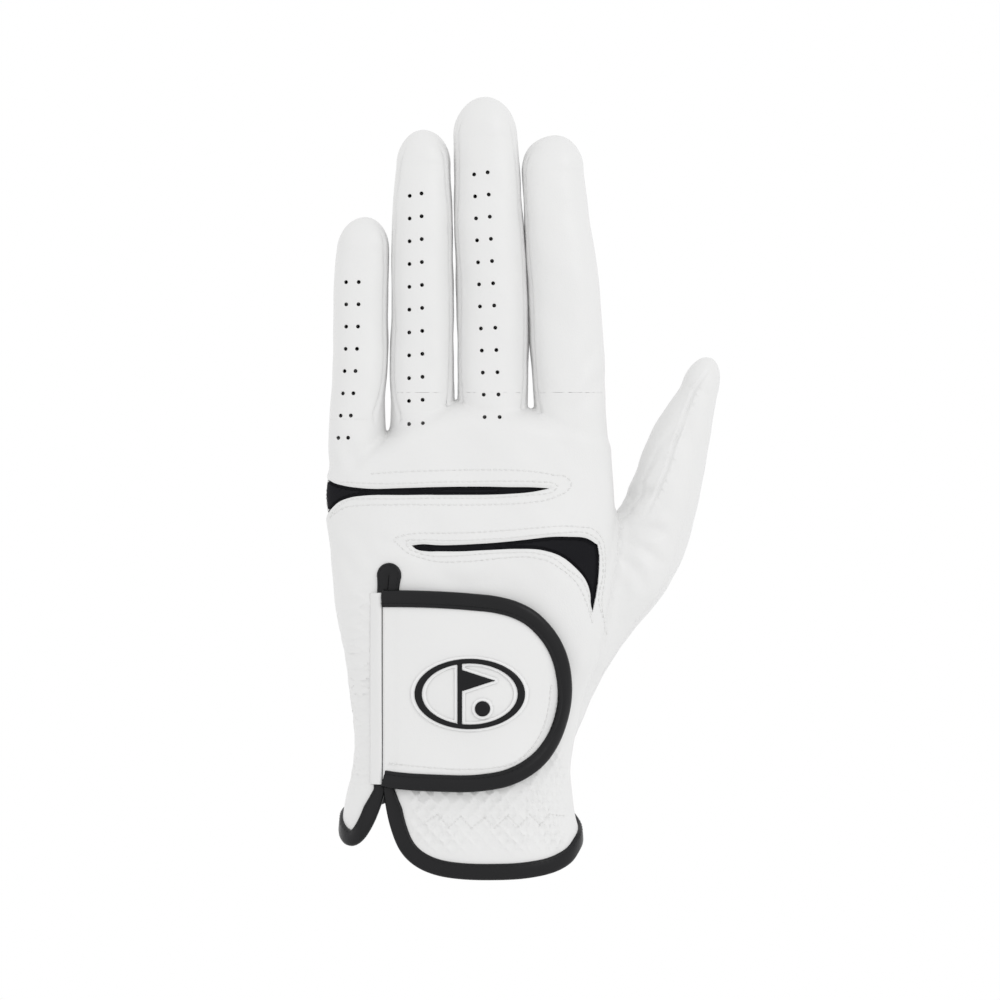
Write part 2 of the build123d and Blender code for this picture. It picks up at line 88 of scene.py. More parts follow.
# height, left, right, half depth, lean to the palm
DIGITS = {
    "little": [
        (108, -38, -25, 6.0, 0.0),
        (126, -39.4, -22.4, 8.2, 0.0),
        (143, -38.7, -22.3, 8.5, 0.1),
        (158, -38.4, -21.7, 8.3, 0.4),
        (173, -37.8, -21.3, 8.0, 1.0),
        (188, -36.5, -21.3, 7.3, 1.8),
    ],
    "ring": [
        (112, -19, -4, 6.5, 0.0),
        (130, -20.9, -2.0, 9.2, 0.0),
        (143, -20.95, -1.8, 9.6, 0.1),
        (158, -20.8, -1.65, 9.4, 0.3),
        (173, -20.7, -1.9, 9.2, 0.6),
        (188, -20.5, -2.1, 8.9, 1.1),
        (203, -19.9, -2.4, 8.5, 1.8),
        (213.5, -19.4, -2.7, 7.9, 2.5),
    ],
    "middle": [
        (112, 2, 17, 7.0, 0.0),
        (130, -0.4, 20.3, 9.8, 0.0),
        (143, -0.5, 20.6, 10.2, 0.1),
        (158, -0.95, 20.4, 10.0, 0.3),
        (173, -1.15, 20.1, 9.8, 0.6),
        (188, -1.5, 19.3, 9.6, 1.1),
        (203, -1.8, 18.4, 9.2, 1.7),
        (213, -2.0, 17.7, 8.9, 2.2),
        (222, -2.1, 16.9, 8.4, 2.6),
    ],
    "index": [
        (112, 26, 42, 7.0, 0.0),
        (130, 22.3, 44.2, 9.8, 0.0),
        (143, 21.95, 43.8, 10.3, 0.1),
        (158, 21.2, 43.1, 10.1, 0.3),
        (173, 20.8, 42.1, 9.8, 0.6),
        (188, 20.0, 40.6, 9.4, 1.1),
        (203, 19.1, 38.7, 8.8, 1.9),
        (211.5, 18.7, 37.3, 8.3, 2.5),
    ],
    # along the thumb's own line, across it, half depth, how far in front of the palm's middle
    "thumb": [
        (40, 6, 17, 8.0, 3.5),
        (54, 5, 18.0, 10.5, 5.5),
        (61, 4.5, 18.4, 11.5, 6.5),
        (77, 4, 21.1, 13.0, 8.3),
        (89.5, 4, 25.0, 13.6, 9.2),
        (101, 5, 29.0, 13.4, 9.8),
        (110, 6.8, 30.3, 12.7, 10.1),
        (124, 8.1, 29.7, 11.2, 10.5),
        (138.5, 8.2, 27.9, 10.0, 10.6),
        (150.5, 9.3, 26.0, 8.9, 10.9),
        (161.5, 12.0, 23.6, 7.0, 11.3),
    ],
}
# height of the dome that ends each digit
TIP = {"little": 9.5, "ring": 10.3, "middle": 11.4, "index": 11.2, "thumb": 10.6}
THUMB_LEAN = math.radians(20)
THUMB_BLEND, FINGER_BLEND = 5.0, 2.2


def curve_at(table, t):
    """The table's columns at t, on a smooth curve through its rows."""
    rows = np.asarray(table, float)
    knots, columns = rows[:, 0], rows[:, 1:]
    slopes = np.gradient(columns, knots, axis=0)
    t = np.clip(t, knots[0], knots[-1])
    k = np.clip(np.searchsorted(knots, t, side="right") - 1, 0, len(knots) - 2)
    span = knots[k + 1] - knots[k]
    u = (t - knots[k]) / span
    low, high = (1 + 2 * u) * (1 - u) ** 2, u * u * (3 - 2 * u)
    rise, fall = u * (1 - u) ** 2, u * u * (u - 1)
    made = columns[k] * low[..., None] + columns[k + 1] * high[..., None]
    made += (slopes[k] * rise[..., None] + slopes[k + 1] * fall[..., None]) * span[..., None]
    return np.moveaxis(made, -1, 0)


def oval_distance(across, depth, half, half_depth, corner, above=0.0, cap=1.0, below=-1.0, root=10.0):
    """About how far a point is outside an oval tube whose ends are domes of height cap and root."""
    above, cap = np.where(below > 0, below, above), np.where(below > 0, root, cap)
    s, t = np.abs(across) / half, np.abs(depth) / half_depth
    ring = np.maximum((s**corner + t**corner) ** (1 / corner), 1e-3)
    slope = np.hypot((s / ring) ** (corner - 1) / half, (t / ring) ** (corner - 1) / half_depth)
    end = np.maximum(above, 0) / cap
    reach = np.hypot(ring, end)
    return (reach - 1) / np.hypot(ring / reach * slope, end / reach / cap)


def hand_distance(x, y, z):
    """About how far a point is outside the hand, without its digits."""
    left, right, back, palm = curve_at(HAND, z)
    (roof,) = curve_at(HAND_TOP, x)
    depth = np.where(y < 0, back, palm)
    above = z - (roof - HAND_TOP_ROUND)
    half = (right - left) / 2
    return oval_distance(x - (left + right) / 2, y, half, depth, HAND_CORNER, above, HAND_TOP_ROUND)


def digit_distance(name, x, y, z):
    """About how far a point is outside one digit. The thumb is turned upright first."""
    if name == "thumb":
        c, s = math.cos(THUMB_LEAN), math.sin(THUMB_LEAN)
        x, z = x * c - z * s, x * s + z * c
    table = DIGITS[name]
    left, right, half_depth, lean = curve_at(table, z)
    above, below = z - table[-1][0], table[0][0] - z
    across, half = x - (left + right) / 2, (right - left) / 2
    return oval_distance(across, y - lean, half, half_depth, DIGIT_CORNER, above, TIP[name], below)


def melt(a, b, width):
    """The nearer of two distances, rounded where they are about equal."""
    h = np.maximum(width - np.abs(a - b), 0) / width
    return np.minimum(a, b) - h * h * width / 4


# ---- Soft folds and puckers on the form -------------------------------------------------------
chance = np.random.default_rng(12)
WAVES = [
    (chance.normal(size=3) / length, chance.uniform(0, 2 * math.pi), height)
    for length, height in [(7.0, 0.16)] * 5 + [(4.0, 0.07)] * 6 + [(2.2, 0.025)] * 6
]
# folds in the leather of the back: points (x, height), depth, width
FOLDS = [
    ([(25, 141), (31, 146), (37, 153), (41, 161)], 0.35, 2.2),
    ([(30, 138), (37, 143), (43, 151)], 0.25, 2.4),
    ([(-26, 103), (-22, 100), (-16, 99), (-9, 96)], 0.22, 2.0),
    ([(-8, 90), (2, 88), (11, 89)], 0.16, 2.4),
    ([(-37, 133), (-33, 128), (-30, 121)], 0.3, 2.2),
    ([(-38, 100), (-34, 95), (-31, 88)], 0.25, 2.2),
]
# the seam that runs down the thumb
THUMB_LINE = [
    (76.6, 155), (75.8, 153.3), (73.5, 150.3), (70.2, 145.5), (67.8, 139.2), (64.5, 130.2), (62.1, 122.1),
    (58.8, 114.3), (54.9, 107),
]
THUMB_FOLDS = [
    ([(49, 103), (56, 104), (63, 103.5)], 0.5, 1.8),
    ([(49, 101), (56, 97.5), (62, 92.5)], 0.45, 1.8),
    ([(48.5, 97), (53, 91), (57, 84)], 0.3, 1.8),
    ([(50, 112.5), (55, 115), (58.5, 116)], 0.5, 1.8),
    ([(53, 120), (58, 124), (64, 125)], 0.15, 2.2),
    (THUMB_LINE, 0.34, 0.55),
]


def to_line(px, pz, points):
    """Distance of points (px, pz) to a line of points, and how far along its nearest point is."""
    pts = np.asarray(points, float)
    best = np.full(px.shape, 1e9)
    along = np.zeros(px.shape)
    gone = 0.0
    for (ax, az), (bx, bz) in zip(pts[:-1], pts[1:]):
        run = math.hypot(bx - ax, bz - az)
        if run < 1e-9:
            continue
        t = np.clip(((px - ax) * (bx - ax) + (pz - az) * (bz - az)) / run**2, 0, 1)
        d = np.hypot(px - ax - t * (bx - ax), pz - az - t * (bz - az))
        near = d < best
        best = np.where(near, d, best)
        along = np.where(near, gone + t * run, along)
        gone += run
    return best, along / gone


def puckers(x, y, z):
    """How far the surface is raised by folds, soft unevenness and the elastic's ruching."""
    raised = np.zeros(x.shape)
    for way, phase, height in WAVES:
        raised += height * np.sin(x * way[0] + y * way[1] + z * way[2] + phase)
    back = y < 2
    for folds, side in ((FOLDS, back), (THUMB_FOLDS, y < 12)):
        for points, depth, width in folds:
            low, high = np.min(points, axis=0) - 4.5 * width, np.max(points, axis=0) + 4.5 * width
            here = side & (x > low[0]) & (x < high[0]) & (z > low[1]) & (z < high[1])
            d, along = to_line(x[here], z[here], points)
            ends = np.clip(np.minimum(along, 1 - along) * 5, 0, 1)
            shape = -np.exp(-((d / width) ** 2)) + 0.55 * np.exp(-(((d - 1.8 * width) / width) ** 2))
            raised[here] += depth * ends * shape
    # ruched elastic: the little-finger side of the wrist, the cuff and the palm's wrist
    girth = np.where(np.abs(x) > 20, y * 0.9, 0) + x
    cross = np.sin((girth + 0.9 * z) * 0.72) * np.sin((girth - 0.9 * z) * 0.72)
    bulge = 0.5 * (1 - np.abs(cross)) ** 1.5 * (0.75 + 0.25 * np.sin(girth * 0.31 + z * 0.23)) - 0.2

    def band(value, low, high, soft):
        return np.clip((value - low) / soft, 0, 1) * np.clip((high - value) / soft, 0, 1)

    on_back_half = np.clip((6 - y) / 4, 0, 1)
    side = band(z, 24, 88, 7) * np.clip((-22.5 - x) / 3, 0, 1) * on_back_half
    cuff = band(z, 7, 40, 4) * np.clip((x + 16) / 3, 0, 1) * np.clip((33 - x) / 4, 0, 1) * on_back_half
    heel = band(z, 30, 48, 4) * band(x, -27, 29, 6) * np.clip((y - 4) / 3, 0, 1)
    raised += bulge * np.maximum(np.maximum(side, cuff), heel)
    return raised


SEAM_REACH = 4.7  # how far each finger's strip reaches from its middle towards the back


def strip_edge(name, z):
    """Half the width of a finger's side strip, which is wider where it meets the palm."""
    root = DIGITS[name][2][0]
    return SEAM_REACH + 2.6 * np.exp(-np.maximum(z - root + 4, 0) / 8.0)


STRIPS = {"little": (1,), "ring": (-1, 1), "middle": (-1, 1), "index": (-1,)}


def finger_frame(name, x, y, z):
    """Across and depth of a point from the finger's own middle line."""
    left, right, half_depth, lean = curve_at(DIGITS[name], z)
    return x - (left + right) / 2, y - lean


def finger_seams(name, x, y, z):
    """How far the surface is drawn in along the finger's seams."""
    across, depth = finger_frame(name, x, y, z)
    edge = strip_edge(name, z)
    pulled = np.zeros(x.shape)
    tip, root = DIGITS[name][-1][0], DIGITS[name][2][0]
    fade = np.clip((tip + 6 - z) / 5, 0, 1) * np.clip((z - root + 8) / 4, 0, 1)
    for side in STRIPS[name]:
        inner = np.clip(across * side / 3, 0, 1)
        for end in (-1, 1):
            d = depth - end * edge
            groove = 0.42 * np.exp(-((d / 0.38) ** 2))
            lips = 0.13 * np.exp(-(((np.abs(d) - 1.1) / 0.6) ** 2))
            pulled += inner * fade * (groove - lips)
    return pulled


def skin(p, parts):
    """Signed distance of points to the glove's outer surface, made of the hand and these digits."""
    x, y, z = p[..., 0], p[..., 1], p[..., 2]
    made = hand_distance(x, y, z) if "hand" in parts else None
    for name in parts:
        if name == "hand":
            continue
        d = digit_distance(name, x, y, z)
        if name in FINGERS:
            d = d + finger_seams(name, x, y, z)
        width = THUMB_BLEND if name == "thumb" else FINGER_BLEND - 1.4 * np.clip((z - 135) / 6, 0, 1)
        made = d if made is None else melt(made, d, width)
    return made - puckers(x, y, z)


WHOLE = ("hand", *FINGERS, "thumb")


def slope_of(p, parts, step=0.04):
    """The outward normal at each point."""
    made = np.empty_like(p)
    for k in range(3):
        shift = np.zeros(3)
        shift[k] = step
        made[:, k] = skin(p + shift, parts) - skin(p - shift, parts)
    return made / np.maximum(np.linalg.norm(made, axis=1, keepdims=True), 1e-9)


def settle(p, parts, lift=0.0, rounds=3):
    """Points moved onto the surface, or lift outside it."""
    p = p.copy()
    for _ in range(rounds):
        gap = skin(p, parts) - lift
        p -= np.clip(gap, -2, 2)[:, None] * slope_of(p, parts)
    return p


# ---- Meshes as arrays: vertices and triangles -------------------------------------------------
def net(parts, low, high, cell):
    """The surface of these parts inside a box, as triangles about one cell long."""
    axes = [np.arange(a, b + cell, cell) for a, b in zip(low, high)]
    grid = np.stack(np.meshgrid(*axes, indexing="ij"), axis=-1)
    value = skin(grid, parts)
    inside = value < 0
    sizes = value.shape
    total = np.zeros((*[n - 1 for n in sizes], 3))
    count = np.zeros([n - 1 for n in sizes])
    corner = [slice(0, -1), slice(1, None)]
    for axis in range(3):
        for i in (0, 1):
            for j in (0, 1):
                pick = [corner[i], corner[j]]
                a, b = pick[:], pick[:]
                a.insert(axis, corner[0])
                b.insert(axis, corner[1])
                va, vb = value[tuple(a)], value[tuple(b)]
                hit = inside[tuple(a)] != inside[tuple(b)]
                t = np.where(hit, va / np.where(hit, va - vb, 1), 0)
                point = grid[tuple(a)] * (1 - t[..., None]) + grid[tuple(b)] * t[..., None]
                total += np.where(hit[..., None], point, 0)
                count += hit
    used = count > 0
    index = np.full(used.shape, -1)
    index[used] = np.arange(used.sum())
    verts = total[used] / count[used][:, None]
    faces = []
    for axis in range(3):
        u, v = (axis + 1) % 3, (axis + 2) % 3
        near = [slice(1, -1)] * 3
        near[axis] = slice(0, -1)
        far = [slice(1, -1)] * 3
        far[axis] = slice(1, None)
        starts, ends = inside[tuple(near)], inside[tuple(far)]
        where = np.argwhere(starts != ends)
        out = starts[tuple(where.T)]
        base = where.copy()
        base[:, u] += 1
        base[:, v] += 1
        ring = []
        for du, dv in ((0, 0), (-1, 0), (-1, -1), (0, -1)):
            cellid = base.copy()
            cellid[:, u] += du
            cellid[:, v] += dv
            ring.append(index[tuple(cellid.T)])
        ring = np.stack(ring, axis=1)
        ring[~out] = ring[~out][:, ::-1]
        faces += [ring[:, [0, 1, 2]], ring[:, [0, 2, 3]]]
    faces = np.concatenate(faces)
    verts = settle(verts, parts)
    return verts, faces


def edges_of(faces, size):
    """Every edge once, and the three edges of each face. size is the number of vertices."""
    pair = np.sort(faces[:, [0, 1, 1, 2, 2, 0]].reshape(-1, 2), axis=1)
    keys, inverse = np.unique(pair[:, 0] * size + pair[:, 1], return_inverse=True)
    return np.stack([keys // size, keys % size], axis=1), inverse.reshape(-1, 3)


def split_edges(verts, faces, of_face, flagged, points):
    """Puts the points on the flagged edges and divides the triangles that share them."""
    new = np.full(len(flagged), -1)
    new[flagged] = len(verts) + np.arange(flagged.sum())
    verts = np.concatenate([verts, points[flagged]])
    mid = new[of_face]
    count = (mid >= 0).sum(axis=1)
    out = [faces[count == 0]]
    for k in range(3):
        i, j, m = k, (k + 1) % 3, (k + 2) % 3
        s = (count == 1) & (mid[:, i] >= 0)
        a, b, c, p = faces[s, i], faces[s, j], faces[s, m], mid[s, i]
        out += [np.stack([a, p, c], 1), np.stack([p, b, c], 1)]
        s = (count == 2) & (mid[:, m] < 0)
        a, b, c, p, q = faces[s, i], faces[s, j], faces[s, m], mid[s, i], mid[s, j]
        out += [np.stack([p, b, q], 1), np.stack([a, p, q], 1), np.stack([a, q, c], 1)]
    s = count == 3
    a, b, c = faces[s].T
    p, q, r = mid[s].T
    out += [np.stack(t, 1) for t in ((a, p, r), (p, b, q), (r, q, c), (p, q, r))]
    return verts, np.concatenate(out)


def refine(verts, faces, size_at, rounds=3):
    """Divides edges longer than size_at(middle of the edge)."""
    for _ in range(rounds):
        edges, of_face = edges_of(faces, len(verts))
        a, b = verts[edges[:, 0]], verts[edges[:, 1]]
        middle = (a + b) / 2
        flagged = np.linalg.norm(a - b, axis=1) > size_at(middle)
        if not flagged.any():
            break
        verts, faces = split_edges(verts, faces, of_face, flagged, middle)
    return verts, faces


def cut_line(verts, faces, value, snap=0.15):
    """Puts vertices where value is 0. Returns the mesh and value at each of its vertices."""
    verts, value = verts.copy(), value.copy()
    edges, of_face = edges_of(faces, len(verts))
    for _ in range(2):
        a, b = edges.T
        hit = value[a] * value[b] < 0
        t = np.where(hit, value[a] / np.where(hit, value[a] - value[b], 1), 0.5)
        near = hit & (t < snap)
        verts[a[near]] += (verts[b] - verts[a])[near] * t[near, None]
        value[a[near]] = 0
        near = hit & (t > 1 - snap) & (value[a] != 0)
        verts[b[near]] += (verts[a] - verts[b])[near] * (1 - t[near, None])
        value[b[near]] = 0
    a, b = edges.T
    hit = value[a] * value[b] < 0
    t = np.where(hit, value[a] / np.where(hit, value[a] - value[b], 1), 0.5)
    points = verts[a] * (1 - t[:, None]) + verts[b] * t[:, None]
    verts, faces = split_edges(verts, faces, of_face, hit, points)
    return verts, faces, np.concatenate([value, np.zeros(hit.sum())])


def only(verts, faces, wanted):
    """The mesh of the wanted faces, without loose vertices."""
    faces = faces[wanted]
    used = np.unique(faces)
    place = np.zeros(len(verts), int)
    place[used] = np.arange(len(used))
    return verts[used], place[faces]


def border(faces, size):
    """The directed edges that only one face has."""
    pair = faces[:, [0, 1, 1, 2, 2, 0]].reshape(-1, 2)
    keys = pair[:, 0] * size + pair[:, 1]
    back = pair[:, 1] * size + pair[:, 0]
    return pair[~np.isin(keys, back)]


def walled(verts, faces, normals, thick):
    """A sheet given thickness towards the inside, closed round its edges."""
    n = len(verts)
    rim = border(faces, n)
    inner = verts - normals * thick
    a, b = rim[:, 0], rim[:, 1]
    sides = np.concatenate([np.stack([b, a, a + n], 1), np.stack([b, a + n, b + n], 1)])
    every = np.concatenate([faces, faces[:, ::-1] + n, sides])
    return np.concatenate([verts, inner]), every, np.concatenate([normals, -normals])


# ---- Outlines on the back, as (x, height) -----------------------------------------------------
# the two windows of stretch cloth
UPPER_TOP = [
    (-46, 124), (-41, 120.2), (-38.8, 118.3), (-35, 117.1), (-28.6, 116.3), (-18, 116.4),
    (-7.2, 116.7), (3.6, 116.9), (14.3, 116.7), (22.2, 116.6), (27.2, 116.3),
]
UPPER_FOOT = [
    (22.2, 115.3), (14.3, 114.6), (0.9, 114.4), (-15.3, 114.3), (-28.6, 114.1), (-33, 113.5),
    (-36.6, 112.1), (-38.8, 110.2), (-41, 107.5), (-46, 102),
]
LOWER_TOP = [
    (-14.4, 99.2), (-11, 99.6), (-7.2, 99.4), (6.3, 99.8), (14.3, 100.4), (22.2, 101.3), (26.7, 101.8),
    (33, 101.9), (38.4, 101.3), (41.6, 99.4),
]
LOWER_SIDE = [(42.1, 96.6), (42.1, 92.4), (41.7, 87), (40.6, 81.3), (40.1, 79.2)]
LOWER_FOOT = [
    (39.5, 81.5), (39.3, 84.7), (37.8, 89), (34.5, 92.8), (30.3, 96), (24.9, 97.8), (16.8, 98.2),
    (9, 97.9), (0.9, 97.5), (-6.6, 97.5), (-9.9, 97.5), (-13.2, 98.2),
]
# stitches round the windows
UPPER_ROWS = [
    [
        (-26, 120.7), (-18, 121.2), (-10, 121.5), (3.6, 121.8), (16.4, 121.7), (22.2, 121.3),
        (27.6, 120.4), (32.4, 119.2), (33.3, 117.7), (32.4, 115.8), (29.7, 114.2), (26.1, 112.9),
        (20.1, 112), (14.3, 111.6), (6.3, 111.4), (-20.7, 111.4), (-29.7, 111.2), (-34, 110.7),
        (-36.6, 109.4), (-38.7, 107.8),
    ],
    [
        (-35.1, 118.2), (-27, 117.8), (-15.3, 117.8), (-8.7, 118.1), (3.6, 118.3), (14.7, 118.4),
        (24, 118.2), (27.6, 117.9), (29.3, 116.8), (27.6, 115.3), (22.2, 114.4), (16.8, 113.9),
        (8.4, 113.4), (-4.5, 113.4), (-18, 113.2), (-28.5, 113.1), (-33, 112.8), (-36, 111.2),
        (-38.4, 108.9),
    ],
]
LOWER_ROWS = [
    [
        (44, 73), (42.5, 81), (43.5, 91), (43.5, 96.6), (42.9, 100.5), (39.9, 104.1), (35.7, 104.8),
        (30.3, 105), (22.2, 104.4), (14.3, 103.8), (3.6, 103.1), (-4.5, 102.9), (-13.2, 102.8),
        (-17.1, 102.2), (-19.7, 101), (-18.4, 99.5), (-15.3, 96.9), (-12, 95.7), (-7.2, 94.5),
        (-0.3, 94.4), (6.3, 94.8), (11.7, 95.4), (22.2, 95.6), (26.7, 94.4), (30.3, 92.2),
        (34.5, 88.5), (36.8, 84.7), (38.4, 80.4), (39.5, 76.5),
    ],
    [
        (42.6, 78), (41.7, 81.6), (42.9, 91), (42.7, 96.6), (41.6, 100.5), (38.8, 102.6), (30.3, 103),
        (22.2, 102.3), (14.3, 101.5), (6.3, 101), (-4.5, 100.7), (-12, 100.9), (-16, 100.3),
        (-15.5, 98.8), (-12, 96.9), (-7.2, 96), (-0.3, 96.2), (6.3, 96.7), (14.3, 97.1), (22.2, 97),
        (27.6, 95.7), (33, 91.5), (36.3, 89), (38.4, 84.7), (39.3, 79),
    ],
]
# the tab's free edge, then the hem, then the slit under the tab
TAB_RIM = [
    (-23.5, 85.3), (-17.4, 85.3), (-4.5, 84.9), (4, 84.3), (11.6, 83.4), (16.8, 82.0), (22.2, 79.2),
    (26.1, 75.6), (29.3, 71.2), (31.7, 65.5), (32.7, 60), (32.8, 54), (31.4, 46.5), (28.6, 39.5),
    (24.9, 34.3), (20.5, 30.8), (15, 28.2), (6.8, 26.6), (-7.6, 26.5), (-19, 27.2), (-23.5, 27.8),
]
HEM_FLAP = [
    (-46, 16.5), (-40, 15.8), (-36.6, 14.6), (-35.3, 11.6), (-32.9, 9.4), (-30.5, 10.4), (-27, 15),
    (-24.3, 21.3), (-22.9, 26),
]
HEM_CUFF = [
    (-22.2, 26), (-21.3, 19.5), (-19.6, 13.2), (-17.4, 8.1), (-13.3, 4.1), (-7.5, 1.5), (1, 0.2),
    (9.6, 0), (21, 0.6), (29.7, 2.7), (34.2, 5.8), (36.2, 10), (40, 12.5), (46, 13.5),
]
HEM_PALM = [
    (-46, 16.5), (-40, 15.8), (-36, 16.2), (-28, 20), (-15, 24.5), (0, 26.5), (15, 25), (28, 20.5),
    (36, 13.8), (40, 12.8), (46, 13.5),
]
SLIT = [(-22.6, 20), (-22.4, 50), (-21.8, 80), (-21.1, 90.3)]


def smoothed(points, gap=0.8):
    """A smooth line through the points, with a point every gap."""
    pts = np.asarray(points, float)
    run = np.concatenate([[0], np.cumsum(np.linalg.norm(np.diff(pts, axis=0), axis=1))])
    t = np.linspace(0, run[-1], max(int(run[-1] / gap), 2) + 1)
    rows = np.concatenate([run[:, None], pts], axis=1)
    return np.stack(curve_at(rows, t), axis=1)


def outline_distance(px, pz, points):
    """Signed distance to a closed outline, negative inside."""
    ring = np.asarray(points, float)
    ring = np.concatenate([ring, ring[:1]])
    d, _ = to_line(px, pz, ring)
    inside = np.zeros(px.shape, bool)
    for (ax, az), (bx, bz) in zip(ring[:-1], ring[1:]):
        if az == bz:
            continue
        crosses = (az > pz) != (bz > pz)
        inside ^= crosses & (px < ax + (pz - az) * (bx - ax) / (bz - az))
    return np.where(inside, -d, d)


upper_window = np.concatenate([smoothed(UPPER_TOP)[:-1], smoothed([UPPER_TOP[-1], *UPPER_FOOT])[:-1]])
lower_window = np.concatenate([
    smoothed(LOWER_TOP)[:-1],
    smoothed([LOWER_TOP[-1], *LOWER_SIDE])[:-1],
    smoothed([LOWER_SIDE[-1], *LOWER_FOOT, LOWER_TOP[0]])[:-1],
])
# the leather's outline goes from the hem to well past the fingertips and the thumb
BEYOND = [(95, 14), (95, 260), (-95, 260), (-95, 16)]
back_area = np.concatenate([smoothed(HEM_FLAP), smoothed(HEM_CUFF), BEYOND])
palm_area = np.concatenate([smoothed(HEM_PALM), BEYOND])


def on_back(points, parts=WHOLE, lift=0.0):
    """The points (x, height) put on the back of the glove, or lift outside it."""
    pts = np.asarray(points, float)
    steps = -np.linspace(30, 0, 61)
    p = np.zeros((len(pts), len(steps), 3))
    p[:, :, 0], p[:, :, 1], p[:, :, 2] = pts[:, :1], steps, pts[:, 1:]
    value = skin(p, parts) - lift
    first = np.argmax(value < 0, axis=1)
    high, low = steps[np.maximum(first - 1, 0)], steps[first]
    for _ in range(12):
        mid = (high + low) / 2
        q = np.stack([pts[:, 0], mid, pts[:, 1]], axis=1)
        out = skin(q, parts) - lift > 0
        high, low = np.where(out, mid, high), np.where(out, low, mid)
    return np.stack([pts[:, 0], (high + low) / 2, pts[:, 1]], axis=1)


# ---- Making Blender objects -------------------------------------------------------------------
def put(name, verts, faces, material, body, replaces=(), normals=None, blend=None):
    """A finished mesh in metres that rides on a body, or has its transform baked in when blend is given."""
    mesh = bpy.data.meshes.new(name)
    mesh.vertices.add(len(verts))
    mesh.vertices.foreach_set("co", (np.asarray(verts) * MM).astype(np.float32).ravel())
    faces = np.asarray(faces)
    mesh.loops.add(faces.size)
    mesh.loops.foreach_set("vertex_index", faces.astype(np.int32).ravel())
    mesh.polygons.add(len(faces))
    mesh.polygons.foreach_set("loop_start", np.arange(0, faces.size, faces.shape[1], dtype=np.int32))
    mesh.update(calc_edges=True)
    mesh.validate()
    mesh.shade_smooth()
    if normals is not None and len(mesh.vertices) == len(normals):
        mesh.normals_split_custom_set_from_vertices([tuple(n) for n in normals])
    mesh.materials.append(material)
    made = bpy.data.objects.new(name, mesh)
    bpy.context.scene.collection.objects.link(made)
    return bound(made, body, replaces, blend)


def bound(made, body, replaces=(), blend=None):
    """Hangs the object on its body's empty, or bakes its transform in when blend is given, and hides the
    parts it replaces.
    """
    if blend:
        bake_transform(made)
    else:
        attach(made, body)
    if replaces:
        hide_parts(*replaces)
    return made


# ---- Materials --------------------------------------------------------------------------------
TINT_SCALE, GRAIN_SCALE = 60.0, 900.0
TEXTURES = {"noise": "ShaderNodeTexNoise", "cells": "ShaderNodeTexVoronoi", "weave": "ShaderNodeTexWave"}


def finish_of(name, colour, rough, bumps=(), tint=0.0, sheen=0.0, spotted=0.0, shine=0.5):
    """A procedural material: colour that varies a little, and bumps as (kind, scale, strength, depth)."""
    made = bpy.data.materials.new(name)
    made.use_nodes = True
    tree = made.node_tree
    nodes, links = tree.nodes, tree.links
    shader = nodes["Principled BSDF"]
    shader.inputs["Roughness"].default_value = rough
    shader.inputs["Specular IOR Level"].default_value = shine
    shader.inputs["Sheen Weight"].default_value = sheen
    place = nodes.new("ShaderNodeTexCoord")
    patch = nodes.new("ShaderNodeTexNoise")
    patch.inputs["Scale"].default_value = TINT_SCALE
    patch.inputs["Detail"].default_value = 4.0
    links.new(place.outputs["Object"], patch.inputs["Vector"])
    ramp = nodes.new("ShaderNodeMix")
    ramp.data_type = "RGBA"
    ramp.inputs["A"].default_value = (*[c * (1 - tint) for c in colour], 1)
    ramp.inputs["B"].default_value = (*[min(c * (1 + tint), 1) for c in colour], 1)
    links.new(patch.outputs["Fac"], ramp.inputs["Factor"])
    links.new(ramp.outputs["Result"], shader.inputs["Base Color"])
    if spotted:
        grain = nodes.new("ShaderNodeTexNoise")
        grain.inputs["Scale"].default_value = GRAIN_SCALE
        links.new(place.outputs["Object"], grain.inputs["Vector"])
        spread = nodes.new("ShaderNodeMapRange")
        spread.inputs["To Min"].default_value = rough - spotted
        spread.inputs["To Max"].default_value = rough + spotted
        links.new(grain.outputs["Fac"], spread.inputs["Value"])
        links.new(spread.outputs["Result"], shader.inputs["Roughness"])
    last = None
    for kind, scale, strength, depth in bumps:
        texture = nodes.new(TEXTURES[kind])
        texture.inputs["Scale"].default_value = scale
        links.new(place.outputs["Object"], texture.inputs["Vector"])
        if kind == "noise":
            texture.inputs["Detail"].default_value = 3.0
        if kind == "weave":
            texture.bands_direction = "DIAGONAL"
        if kind == "cells":
            texture.feature = "DISTANCE_TO_EDGE"
        bump = nodes.new("ShaderNodeBump")
        bump.inputs["Strength"].default_value = strength
        bump.inputs["Distance"].default_value = depth * MM
        links.new(texture.outputs["Distance" if kind == "cells" else "Fac"], bump.inputs["Height"])
        if last:
            links.new(last.outputs["Normal"], bump.inputs["Normal"])
        last = bump
    if last:
        links.new(last.outputs["Normal"], shader.inputs["Normal"])
    return made


white_leather = finish_of(
    "white_leather", (0.745, 0.745, 0.742), 0.46,
    [("cells", 1150.0, 0.25, 0.10), ("noise", 2600.0, 0.3, 0.05), ("noise", 260.0, 0.25, 0.12)],
    tint=0.012, spotted=0.07, sheen=0.05,
)
suede = finish_of("suede", (0.72, 0.72, 0.70), 0.9, [("noise", 3200.0, 0.6, 0.12)], tint=0.05, sheen=0.35)
black_cloth = finish_of(
    "black_stretch_cloth", (0.012, 0.012, 0.014), 0.78,
    [("weave", 900.0, 0.5, 0.12), ("noise", 2200.0, 0.5, 0.08)],
    tint=0.3, shine=0.06,
)
black_leather = finish_of(
    "black_binding_leather", (0.008, 0.008, 0.009), 0.34,
    [("cells", 1300.0, 0.3, 0.10), ("noise", 420.0, 0.35, 0.2)],
    tint=0.2, spotted=0.06, shine=0.22,
)
white_thread = finish_of(
    "white_thread", (0.78, 0.78, 0.77), 0.5, [("weave", 4200.0, 0.6, 0.05)], tint=0.02, sheen=0.1,
)
